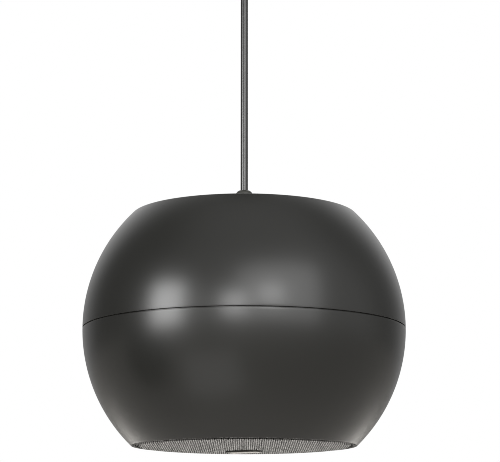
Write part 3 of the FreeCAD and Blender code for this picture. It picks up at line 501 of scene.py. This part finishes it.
def mount(piece: bpy.types.Object, finish: Finish, node: str) -> None:
    """Dress a piece and put it on the speaker in place of its CAD node.

    Args:
        piece: Mesh or curve object.
        finish: Finish that it takes.
        node: CAD node that it stands for.
    """
    dress(piece, finish)
    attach(piece, "speaker")
    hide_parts(node)


# Sub-assemblies

@dataclass
class Camera:
    """Camera at the photograph's viewing angle, a little under the ball and looking up.

    Args:
        distance: From the camera to the middle of the ball.
        under: Angle of the camera below the ball's middle, in degrees.
        pitch: Upward tilt of the camera, in degrees.
        yaw: Turn to the right, in degrees.
        focal_length: Focal length of the lens.
        sensor_width: Width of the sensor.
    """

    distance: float = 1560.0
    under: float = 7.811
    pitch: float = 10.954
    yaw: float = 0.189
    focal_length: float = 129.03
    sensor_width: float = 36.0

    def build(self) -> None:
        """Place the camera and make it the scene's own."""
        data = bpy.data.cameras.new("camera")
        data.lens = self.focal_length
        data.sensor_width = self.sensor_width
        camera = bpy.data.objects.new("camera", data)
        bpy.context.scene.collection.objects.link(camera)
        below = math.radians(self.under)
        height = -SEAM_TO_CEILING - self.distance * math.sin(below)
        camera.location = Vector((0, -self.distance * math.cos(below), height)) * MM
        camera.rotation_euler = (math.radians(90 + self.pitch), 0, -math.radians(self.yaw))
        bpy.context.scene.camera = camera


@dataclass
class SuspensionCable:
    """Round cable that carries the speaker, from the board's terminals to the ceiling's.

    Args:
        diameter: Diameter of the jacket.
        board_end: Height of the lower end from the seam.
        ceiling_end: Height of the upper end from the ceiling.
        gland_mouth: Height from the seam where it leaves the ball's gland.
        grip_mouth: Height from the ceiling where it enters the ceiling's grip.
        straight: Length in diameters that runs straight out of each mouth.
        section_fineness: Fineness of the round section.
        run_fineness: Fineness of the run between two points.
        pieces: CAD nodes on the cable's upper end; not used.
    """

    diameter: float = 6.5
    board_end: float = 76.0
    ceiling_end: float = -14.0
    gland_mouth: float = 123.38
    grip_mouth: float = -46.0
    straight: float = 6.0
    section_fineness: int = 10
    run_fineness: int = 12
    pieces: tuple[str, ...] = ("ceiling_plate", "cup_lugs", "ceiling_cup", "cup_screws", "cord_grip",
                               "cord_grip_nut", "ceiling_terminal")

    def build(self) -> None:
        low = self.board_end - SEAM_TO_CEILING
        straight = self.straight * self.diameter
        gland_mouth = self.gland_mouth - SEAM_TO_CEILING
        heights = [low, gland_mouth + straight, self.grip_mouth - straight, self.ceiling_end]
        data = bpy.data.curves.new("cable", "CURVE")
        data.dimensions = "3D"
        data.bevel_depth = self.diameter / 2 * MM
        data.bevel_resolution = self.section_fineness
        data.use_fill_caps = True
        data.resolution_u = self.run_fineness
        run = data.splines.new("NURBS")
        run.points.add(len(heights) - 1)
        for point, height in zip(run.points, heights):
            point.co = (0, 0, height * MM, 1)
        run.order_u = 3
        run.use_endpoint_u = True
        cable = bpy.data.objects.new("suspension_cable", data)
        bpy.context.scene.collection.objects.link(cable)
        mount(cable, PVC_JACKET, "cable")
        log.info("cable: %.1f mm long", self.ceiling_end - low)


@dataclass
class Housing:
    """The two moulded halves of the ball, with the seam groove, the flat top and the recess for the grille.

    Args:
        radius: Outside of the ball.
        wall: Wall thickness.
        flat_top_radius: Radius of the flat top.
        top_rounding: Rounding of the flat top's edge.
        gland_hole: Radius of the hole for the cable gland.
        hole_rounding: Rounding of that hole's edge.
        reveal_gap: Height of the groove under the seam.
        reveal_depth: Depth of that groove.
        reveal_rounding: Rounding of the groove's lower edge.
        edge_rounding: Rounding of the upper half's lower edge.
        lip_width: How far the lip at the seam reaches inwards.
        lip_height: Height of that lip on each half.
        gasket_groove: Width and depth of the groove for the gasket.
        rim_radius: Outside of the rim round the grille.
        rim_rounding: Rounding of the rim's edges.
        recess_radius: Inside of that rim.
        recess_depth: Depth of the recess up to the ledge.
        recess_wall: Wall round the recess.
        ledge_radius: Inside of the ledge that carries the baffle.
        ledge_thickness: Thickness of the ledge.
        seam_bosses: Number of screw bosses at the seam.
        seam_boss_radius: Radius of such a boss.
        seam_boss_circle: Radius of the circle that they stand on.
        seam_boss_heights: Their height above the seam and below it.
        seam_boss_gap: Gap between each boss and the seam.
        ledge_bosses: Number of screw bosses on the ledge.
        ledge_boss_radius: Radius of such a boss.
        ledge_boss_height: Height of such a boss.
        standoff: Place across and along of the posts for the board, and their length.
        standoff_radius: Radius of such a post.
        root: How far a post reaches into the wall that it stands on.
        outside_steps: Number of steps in the outside of each half.
        inside_steps: Number of steps in the inside of each half.
        rounding_steps: Number of steps in each rounding.
        facing_down: Largest upward part of the normal of a face on the rim's lower side, where the shade is
            painted.
    """

    radius: float = 140.0
    wall: float = 3.0
    flat_top_radius: float = 98.0
    top_rounding: float = 1.5
    gland_hole: float = 8.2
    hole_rounding: float = 0.3
    reveal_gap: float = 1.0
    reveal_depth: float = 2.0
    reveal_rounding: float = 0.3
    edge_rounding: float = 0.15
    lip_width: float = 6.0
    lip_height: float = 5.0
    gasket_groove: Point = (3.0, 1.5)
    rim_radius: float = 96.95
    rim_rounding: float = 0.25
    recess_radius: float = 93.45
    recess_depth: float = 21.0
    recess_wall: float = 2.5
    ledge_radius: float = 84.0
    ledge_thickness: float = 4.0
    seam_bosses: int = 4
    seam_boss_radius: float = 5.0
    seam_boss_circle: float = 126.0
    seam_boss_heights: Point = (20.0, 9.0)
    seam_boss_gap: float = 0.01
    ledge_bosses: int = 6
    ledge_boss_radius: float = 3.5
    ledge_boss_height: float = 8.0
    standoff: Corner = (42.0, 23.0, 33.0)
    standoff_radius: float = 4.0
    root: float = 0.5
    outside_steps: int = 56
    inside_steps: int = 32
    rounding_steps: int = 5
    facing_down: float = -0.3

    def top_height(self) -> float:
        """Height of the flat top over the seam."""
        return math.sqrt(self.radius ** 2 - self.flat_top_radius ** 2)

    def rim_height(self) -> float:
        """Height of the rim, which is below the seam."""
        return -math.sqrt(self.radius ** 2 - self.rim_radius ** 2)

    def boss_places(self) -> list[Point]:
        """Middles of the screw bosses at the seam."""
        return around(self.seam_bosses, self.seam_boss_circle, 180 / self.seam_bosses)

    def upper(self) -> bpy.types.Object:
        """Build the upper half.

        Returns:
            The upper half.
        """
        inner = self.radius - self.wall
        top = self.top_height()
        ceiling = top - self.wall
        outside: list[Point | Corner] = list(ball_arc(self.radius, 0.0, top, self.outside_steps))
        outside[0] = (outside[0][0], outside[0][1], self.edge_rounding)
        outside[-1] = (outside[-1][0], outside[-1][1], self.top_rounding)
        inside = ball_arc(inner, ceiling, self.lip_height, self.inside_steps)
        lip = inner - self.lip_width
        hole = [(self.gland_hole, top, self.hole_rounding), (self.gland_hole, ceiling)]
        corners = [(lip, 0.0), *outside, *hole, *inside, (lip, self.lip_height)]
        build = bmesh.new()
        revolve(build, softened(corners, self.rounding_steps), lift=-SEAM_TO_CEILING)
        for place in self.boss_places():
            add_post(build, place, self.seam_boss_radius, self.seam_boss_gap, self.seam_boss_heights[0])
        x, y, length = self.standoff
        for place in ((-x, -y), (x, -y), (x, y), (-x, y)):
            add_post(build, place, self.standoff_radius, ceiling - length, ceiling + self.root)
        return object_from("upper_ball_shell", build)

    def lower(self) -> bpy.types.Object:
        """Build the lower half.

        Returns:
            The lower half.
        """
        inner = self.radius - self.wall
        gap = self.reveal_gap
        rim = self.rim_height()
        ledge = rim + self.recess_depth
        ledge_top = ledge + self.ledge_thickness
        groove = self.radius - self.reveal_depth
        recess_back = self.recess_radius + self.recess_wall
        outside: list[Point | Corner] = list(ball_arc(self.radius, rim, -gap, self.outside_steps))
        outside[0] = (outside[0][0], outside[0][1], self.rim_rounding)
        outside[-1] = (outside[-1][0], outside[-1][1], self.reveal_rounding)
        pocket = -math.sqrt(inner ** 2 - recess_back ** 2)
        inside = ball_arc(inner, -self.lip_height, pocket, self.inside_steps)
        lip = inner - self.lip_width
        half, deep = self.gasket_groove[0] / 2, self.gasket_groove[1]
        seat = inner - self.lip_width / 2
        recess = [(recess_back, ledge_top), (self.ledge_radius, ledge_top), (self.ledge_radius, ledge),
                  (self.recess_radius, ledge), (self.recess_radius, rim, self.rim_rounding)]
        seam = [(groove, -gap), (groove, 0.0), (seat + half, 0.0), (seat + half, -deep), (seat - half, -deep),
                (seat - half, 0.0), (lip, 0.0), (lip, -self.lip_height)]
        corners = [*recess, *outside, *seam, *inside]
        build = bmesh.new()
        revolve(build, softened(corners, self.rounding_steps), lift=-SEAM_TO_CEILING)
        for place in self.boss_places():
            add_post(build, place, self.seam_boss_radius, -self.seam_boss_heights[1], -self.seam_boss_gap)
        for place in around(self.ledge_bosses, (self.ledge_radius + self.recess_radius) / 2):
            add_post(build, place, self.ledge_boss_radius, ledge_top - self.root,
                     ledge_top + self.ledge_boss_height)
        return object_from("lower_ball_shell", build)

    def leave_rim_matt_and_shaded(self, piece: bpy.types.Object) -> None:
        """Give the rim's narrow lower face its matt finish, whose darker colour is painted shade that hides
        the floor's reflection.

        Args:
            piece: The lower half.
        """
        piece.data.materials.append(MATT_SHADED_RIM.material())
        rim = (self.rim_height() - SEAM_TO_CEILING) * MM
        # Faces of the rim that look downwards take the darker matt copy of the plastic: painted shade where
        # the floor would be mirrored
        for face in piece.data.polygons:
            if face.center.z < rim + self.rim_rounding * MM and face.normal.z < self.facing_down:
                face.material_index = 1

    def build(self) -> None:
        """Build both halves and put them on the speaker."""
        upper, lower = self.upper(), self.lower()
        for piece, node in ((upper, "upper_shell"), (lower, "lower_shell")):
            mount(piece, TEXTURED_ABS, node)
            log.info("%s: %d faces", piece.name, len(piece.data.polygons))
        self.leave_rim_matt_and_shaded(lower)


@dataclass
class Grille:
    """Perforated steel pan that lies flush in the rim, with holes in a staggered pattern.

    The sheet is drawn flat and then wrapped over the bend, so that the outermost holes run into the rounded
    edge as they do in a pressed pan. The round holes are drawn six-sided, with the area of the round ones.

    Args:
        radius: Outside of the turned-up edge.
        face: Height of the outer face from the seam.
        height: Height of the turned-up edge.
        thickness: Thickness of the sheet.
        bend: Outer radius of the bend.
        hole: Diameter of a hole.
        pitch: Distance between neighbouring holes.
        plain_edge: Plain sheet beyond the outermost holes, on the bend.
        rim_segments: Number of steps round that edge.
    """

    radius: float = Housing.recess_radius - GRILLE_CLEARANCE
    face: float = -102.0
    height: float = 16.0
    thickness: float = 0.5
    bend: float = 5.0
    hole: float = 1.65
    pitch: float = 2.12
    plain_edge: float = 2.5
    rim_segments: int = 240

    def flat_radius(self) -> float:
        """Radius of the flat sheet that is wrapped up to the end of the bend."""
        return self.radius - self.bend + self.bend * math.pi / 2

    def wrapped(self, x: float, y: float, depth: float) -> Corner:
        """Place of a point of the flat sheet after the edge is bent up.

        Args:
            x: Place across the flat sheet.
            y: Place along the flat sheet.
            depth: Distance above the outer face.

        Returns:
            The place, with its height from the seam.
        """
        reach = math.hypot(x, y)
        start = self.radius - self.bend
        if reach <= start:
            return x, y, self.face + depth
        turn = min((reach - start) / self.bend, math.pi / 2)
        spoke = self.bend - depth
        across = start + spoke * math.sin(turn)
        return x / reach * across, y / reach * across, self.face + self.bend - spoke * math.cos(turn)

    def places(self) -> dict[Cell, Point]:
        """Middles of all the holes on the flat sheet, by column and by place in the column.

        The places in a column count in steps of half a pitch, so that one of two neighbouring columns has the
        even places and the other has the odd ones.

        Returns:
            The middle of each hole.
        """
        reach = self.flat_radius() - self.plain_edge - self.pitch / math.sqrt(3)
        column_step = self.pitch * math.sqrt(3) / 2
        columns = int(reach / column_step)
        steps = int(2 * reach / self.pitch) + 1
        made = {}
        for column in range(-columns, columns + 1):
            for step in range(-steps, steps + 1):
                place = (column * column_step, step * self.pitch / 2)
                if (column + step) % 2 == 0 and math.hypot(*place) <= reach:
                    made[column, step] = place
        return made

    def sheet(self, build: bmesh.types.BMesh, depth: float) -> tuple[list[Ring], Ring]:
        """Build one face of the perforated sheet.

        Args:
            build: Mesh that takes the faces.
            depth: Distance of this face above the outer face.

        Returns:
            The vertices round each hole, and those of the edge at the end of the bend.
        """
        # A hexagon with the area of the round hole, its flat sides towards the six neighbours
        corner_reach = self.hole / 2 * math.sqrt(math.tau / (3 * math.sqrt(3)))
        rounds = {cell: add_circle(build, corner_reach, 0.0, HOLE_SIDES, place)
                  for cell, place in self.places().items()}
        for (column, step), ring in rounds.items():
            above = rounds.get((column, step + 2))
            upper_right = rounds.get((column + 1, step + 1))
            lower_right = rounds.get((column + 1, step - 1))
            if above:
                build.faces.new((ring[2], ring[1], above[5], above[4]))
            if upper_right:
                build.faces.new((ring[1], ring[0], upper_right[4], upper_right[3]))
            if lower_right:
                build.faces.new((ring[0], ring[5], lower_right[3], lower_right[2]))
            if above and upper_right:
                build.faces.new((ring[1], upper_right[3], above[5]))
            if upper_right and lower_right:
                build.faces.new((ring[0], lower_right[2], upper_right[4]))
        edge = add_circle(build, self.flat_radius(), 0.0, self.rim_segments)
        loop = [build.edges.new(ends) for ends in zip(edge, edge[1:] + edge[:1])]
        border = self.border(build, rounds)
        bmesh.ops.triangle_fill(build, edges=border + loop, use_beauty=True, use_dissolve=False,
                                normal=(0, 0, 1))
        for vert in [*edge, *(v for ring in rounds.values() for v in ring)]:
            vert.co = self.wrapped(vert.co.x, vert.co.y, depth)
        return list(rounds.values()), edge

    @staticmethod
    def border(build: bmesh.types.BMesh, rounds: dict[Cell, Ring]) -> list[bmesh.types.BMEdge]:
        """Edges that bound the drawn part of the sheet on its outside.

        Args:
            build: Mesh with the faces between the holes.
            rounds: Vertices round each hole.

        Returns:
            The sides of the outermost holes that face outwards and the edges that join those holes.
        """
        inner_sides = set()
        neighbours = ((1, 1), (0, 2), (-1, 1), (-1, -1), (0, -2), (1, -1))
        made = []
        for (column, step), ring in rounds.items():
            for side, (across, along) in enumerate(neighbours):
                ends = (ring[side], ring[(side + 1) % HOLE_SIDES])
                edge = build.edges.get(ends)
                if (column + across, step + along) in rounds:
                    inner_sides.add(edge)
                else:
                    made.append(edge or build.edges.new(ends))
        holes = {vert for ring in rounds.values() for vert in ring}
        made += [edge for edge in {e for vert in holes for e in vert.link_edges}
                 if len(edge.link_faces) == 1 and edge not in inner_sides and edge not in made]
        return made

    def build(self) -> None:
        """Build the pan with all its holes and put it on the speaker."""
        build = bmesh.new()
        low_rounds, low_edge = self.sheet(build, 0.0)
        high_rounds, high_edge = self.sheet(build, self.thickness)
        for low, high in zip(low_rounds, high_rounds):
            join_rows(build, [low, high])
        top = self.face + self.height
        brims = [add_circle(build, radius, top, self.rim_segments)
                 for radius in (self.radius - self.thickness, self.radius)]
        join_rows(build, [high_edge, *brims, low_edge])
        bmesh.ops.recalc_face_normals(build, faces=build.faces)
        bmesh.ops.translate(build, vec=(0, 0, -SEAM_TO_CEILING), verts=build.verts)
        piece = object_from("perforated_grille", build)
        mount(piece, POWDER_COATED_STEEL, "grille")
        log.info("grille: %d holes, %d faces", len(low_rounds), len(piece.data.polygons))


@dataclass
class Badge:
    """Blank plate on the face of the grille, near its back edge.

    Args:
        length: Length of the plate.
        width: Width of the plate.
        thickness: Thickness of the plate.
        corner: Rounding of its corners.
        bevel: Size of the rounded bevel along its face.
        bevel_share: Share of the bevel at its middle edge.
        corner_steps: Number of steps in each rounded corner.
        place: Middle of the plate.
        turn: Turn about the upright axis, in degrees.
        seat: Height of the grille's face from the seam.
    """

    length: float = 30.0
    width: float = 15.0
    thickness: float = 1.5
    corner: float = 1.875
    bevel: float = 0.3
    bevel_share: float = 0.3
    corner_steps: int = 6
    place: Point = (0.0, 46.25)
    turn: float = -30.0
    seat: float = Grille.face

    def outline(self, inset: float) -> list[Point]:
        """Rounded outline of the plate.

        Args:
            inset: Distance from the outside edge.

        Returns:
            Points all the way round.
        """
        x, y = self.length / 2 - self.corner, self.width / 2 - self.corner
        made: list[Point] = []
        for index, (sx, sy) in enumerate(((1, 1), (-1, 1), (-1, -1), (1, -1))):
            start = 90 * index
            made += arc((sx * x, sy * y), self.corner - inset, start, start + 90, self.corner_steps)
        return made

    def build(self) -> None:
        """Build the plate and put it on the speaker."""
        build = bmesh.new()
        turned = Matrix.Rotation(math.radians(self.turn), 3, "Z")
        middle = Vector((self.place[0], self.place[1], -SEAM_TO_CEILING))
        low = self.seat - self.thickness
        setback = self.bevel * self.bevel_share
        layers = ((0.0, self.seat), (0.0, low + self.bevel), (setback, low + setback), (self.bevel, low))
        rows = []
        for inset, height in layers:
            outline = [turned @ Vector((x, y, height)) + middle for x, y in self.outline(inset)]
            rows.append([build.verts.new(place) for place in outline])
        build.faces.new(rows[0])
        build.faces.new(rows[-1][::-1])
        join_rows(build, rows)
        piece = object_from("blank_badge", build)
        mount(piece, SATIN_ALUMINIUM, "grille_badge")
        log.info("badge: %d faces", len(piece.data.polygons))


@dataclass
class KeptPieces:
    """CAD pieces that are shown as they are, each with the finish of the real one.

    Args:
        nodes: The frame's objects by name.
        finishes: Finish of each material slot.
    """

    nodes: dict[str, bpy.types.Object]
    finishes: dict[str, Finish] = field(default_factory=lambda: {
        "black_rubber": BLACK_RUBBER,
        "foam": FOAM_STRIP,
        "zinc_screws": ZINC_PLATED_STEEL,
        "baffle_plastic": BLACK_BAFFLE,
        "basket_paint": STOVE_ENAMEL,
        "cone_paper": PAPER_PULP,
        "copper": ENAMELLED_COPPER,
        "spider_cloth": RESIN_CLOTH,
        "magnet_steel": ZINC_PLATED_STEEL,
        "ferrite": FERRITE,
        "tweeter_plastic": TWEETER_ABS,
        "dome_silk": COATED_SILK,
        "core_steel": VARNISHED_LAMINATIONS,
        "board": CIRCUIT_BOARD,
        "terminal_plastic": TERMINAL_POLYAMIDE,
        "capacitor_sleeve": SHRINK_SLEEVE,
        "cup_paint": SATIN_ENAMEL,
        "plate_zinc": ZINC_PLATED_STEEL,
        "gland_nylon": GLAND_NYLON,
    })

    def build(self, record: dict[str, Any]) -> None:
        """Dress every CAD node that is shown.

        Args:
            record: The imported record, which names each node's slot.
        """
        for part in record["subparts"]:
            node = self.nodes[part["node"]]
            if node.hide_render:
                continue
            slot = part["material_slot"]
            smooth(node.data)
            dress(node, self.finishes[slot])
            log.info("%s: %s", node.name, self.finishes[slot].name)


@dataclass
class Bearing:
    """Direction in which something stands from the ball's middle.

    Args:
        azimuth: Degrees to the right of the camera's side.
        elevation: Degrees above the horizon.
    """

    azimuth: float
    elevation: float

    def direction(self) -> Vector:
        """Vector of length 1 along the bearing."""
        side, up = math.radians(self.azimuth), math.radians(self.elevation)
        return Vector((math.sin(side) * math.cos(up), -math.cos(side) * math.cos(up), math.sin(up)))

    def place(self, distance: float) -> Vector:
        """Place at a distance from the ball's middle, with its height from the ceiling."""
        return Vector((0, 0, -SEAM_TO_CEILING)) + self.direction() * distance


@dataclass
class Softbox(Bearing):
    """One rectangular light that faces the ball.

    Args:
        name: Its name.
        distance: From the ball's middle.
        width: Width of the light.
        height: Height of the light.
        radiance: Brightness of its face.
    """

    name: str
    distance: float
    width: float
    height: float
    radiance: float

    def build(self) -> None:
        """Hang the light so that it faces the ball."""
        hang_light(self, self.place(self.distance), self.direction())


@dataclass
class FloorLight:
    """One rectangular light that shines straight down on the floor and leaves no gloss on the ball.

    Args:
        name: Its name.
        place: Middle of the light.
        width: Width of the light.
        height: Depth of the light.
        radiance: Brightness of its face.
    """

    name: str
    place: Corner
    width: float
    height: float
    radiance: float

    def build(self) -> None:
        """Hang the light where no surface mirrors it."""
        light = hang_light(self, Vector(self.place), Vector((0, 0, 1)))
        light.visible_glossy = False


@dataclass
class BlackFlag(Bearing):
    """Round panel of black felt beside the ball, which takes the floor's light from one spot.

    Args:
        azimuth: Degrees to the right of the camera's side.
        elevation: Degrees above the horizon.
        distance: From the ball's middle.
        radius: Radius of the panel.
        segments: Number of steps round it.
    """

    azimuth: float = -73.0
    elevation: float = -18.0
    distance: float = 2000.0
    radius: float = 620.0
    segments: int = 48

    def build(self) -> None:
        """Stand the panel face on to the ball, out of the camera's sight."""
        build = bmesh.new()
        bmesh.ops.create_circle(build, cap_ends=True, segments=self.segments, radius=self.radius)
        turn = self.direction().to_track_quat("Z", "Y").to_matrix()
        bmesh.ops.rotate(build, matrix=turn, verts=build.verts)
        bmesh.ops.translate(build, vec=self.place(self.distance), verts=build.verts)
        flag = object_from("black_flag", build)
        flag.data.materials.append(BLACK_FELT.material())
        flag.visible_camera = False


@dataclass
class Glow(Bearing):
    """Soft round patch of brightness on the walls of the studio.

    Args:
        outer: Angle from the middle where the glow ends.
        inner: Angle from the middle where it is at its full strength.
        strength: Brightness that it adds.
    """

    outer: float
    inner: float
    strength: float


def hang_light(made: Softbox | FloorLight, place: Vector, away: Vector) -> bpy.types.Object:
    """Make an area light and turn its back to a direction.

    Args:
        made: Sizes and brightness of the light.
        place: Middle of the light in millimetres.
        away: Direction that the light's back looks to.

    Returns:
        The light.
    """
    data = bpy.data.lights.new(made.name, "AREA")
    data.shape = "RECTANGLE"
    data.size, data.size_y = made.width * MM, made.height * MM
    data.energy = WATTS_PER_BRIGHTNESS * made.radiance * data.size * data.size_y
    light = bpy.data.objects.new(made.name, data)
    bpy.context.scene.collection.objects.link(light)
    light.location = place * MM
    light.rotation_mode = "QUATERNION"
    light.rotation_quaternion = away.to_track_quat("Z", "Y")
    light.visible_camera = False
    return light


@dataclass
class Studio:
    """Pale floor, white backdrop, soft lights, a black panel and the glows on the walls.

    Args:
        floor_height: Height of the floor from the ceiling.
        floor_radius: Radius of the floor.
        floor_segments: Number of steps round it.
        room: Brightness of the room where no glow falls.
        glows: Patches of brightness round the ball.
        lights: The lights.
        flag: The black panel.
        pixel_blur: Width of the blur between neighbouring pixels.
    """

    floor_height: float = -3000.0
    floor_radius: float = 60000.0
    floor_segments: int = 96
    room: float = 0.1
    glows: tuple[Glow, ...] = (
        Glow(180.0, 8.0, 60.0, 16.0, 0.40),
        Glow(165.0, 40.0, 36.0, 4.0, 0.52),
        Glow(-165.0, 42.0, 36.0, 4.0, 0.46),
        Glow(10.0, 50.0, 60.0, 5.0, 0.43),
        Glow(180.0, 86.0, 40.0, 10.0, 0.10),
        Glow(80.0, 20.0, 60.0, 10.0, 0.18),
        Glow(62.0, 5.0, 50.0, 15.0, 0.47),
    )
    lights: tuple[Softbox | FloorLight, ...] = (
        Softbox(-53.5, 10.7, "left softbox", 2000.0, 800.0, 860.0, 9.6),
        Softbox(-31.0, 9.0, "left fill", 2000.0, 800.0, 700.0, 0.7),
        Softbox(-7.1, 9.4, "front softbox", 2000.0, 520.0, 470.0, 9.4),
        Softbox(18.2, 15.9, "right softbox", 2000.0, 520.0, 400.0, 6.2),
        Softbox(25.2, 18.3, "wide softbox", 2000.0, 2000.0, 1350.0, 1.9),
        Softbox(-24.9, -35.9, "low reflector", 1600.0, 1060.0, 800.0, 0.5),
        FloorLight("floor light", (0.0, 8000.0, -200.0), 6000.0, 4000.0, 9.5),
    )
    flag: BlackFlag = field(default_factory=BlackFlag)
    pixel_blur: float = 0.9

    def floor(self) -> None:
        """Lay the floor, which isn't part of the object."""
        build = bmesh.new()
        bmesh.ops.create_circle(build, cap_ends=True, segments=self.floor_segments, radius=self.floor_radius)
        bmesh.ops.translate(build, vec=(0, 0, self.floor_height), verts=build.verts)
        floor = object_from("studio_floor", build)
        floor.data.materials.append(STUDIO_FLOOR.material())

    def surroundings(self) -> None:
        """Paint the glows on the studio's walls, and a plain white backdrop for the camera."""
        world = bpy.data.worlds.new("studio")
        bpy.context.scene.world = world
        world.use_nodes = True
        tree = world.node_tree
        tree.nodes.clear()
        place = add_node(tree, "ShaderNodeTexCoord").outputs["Generated"]
        level = add_node(tree, "ShaderNodeValue")
        level.outputs[0].default_value = self.room
        for glow in self.glows:
            towards = add_node(tree, "ShaderNodeVectorMath", {"operation": "DOT_PRODUCT"},
                               {1: tuple(glow.direction())}, {0: place})
            edges = {"From Min": math.cos(math.radians(glow.outer)),
                     "From Max": math.cos(math.radians(glow.inner)), "To Min": 0.0, "To Max": glow.strength}
            patch = add_node(tree, "ShaderNodeMapRange", {"interpolation_type": "SMOOTHSTEP"}, edges,
                             {"Value": towards.outputs["Value"]})
            level = add_node(tree, "ShaderNodeMath", {"operation": "ADD"}, {},
                             {0: level.outputs[0], 1: patch.outputs[0]})
        white = {"Color": (1, 1, 1, 1), "Strength": 1.0}
        room = add_node(tree, "ShaderNodeBackground", {}, white, {"Strength": level.outputs[0]})
        backdrop = add_node(tree, "ShaderNodeBackground", {}, white)
        seen = add_node(tree, "ShaderNodeLightPath").outputs["Is Camera Ray"]
        mixed = add_node(tree, "ShaderNodeMixShader", {}, {},
                         {0: seen, 1: room.outputs[0], 2: backdrop.outputs[0]})
        add_node(tree, "ShaderNodeOutputWorld", {}, {}, {"Surface": mixed.outputs[0]})

    def build(self) -> None:
        """Build the floor, the surroundings, the panel and the lights."""
        self.floor()
        self.surroundings()
        self.flag.build()
        for light in self.lights:
            light.build()
        scene = bpy.context.scene
        scene.view_settings.view_transform = "Standard"
        scene.view_settings.look = "None"
        scene.cycles.filter_width = self.pixel_blur


def main() -> None:
    """Build the dressed speaker and its studio."""
    logging.basicConfig(level=logging.INFO, format="%(name)s: %(message)s")
    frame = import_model()
    Camera().build()
    SuspensionCable().build()
    Housing().build()
    Grille().build()
    Badge().build()
    KeptPieces(frame["nodes"]).build(frame["record"])
    Studio().build()


if __name__ == "__main__":
    main()
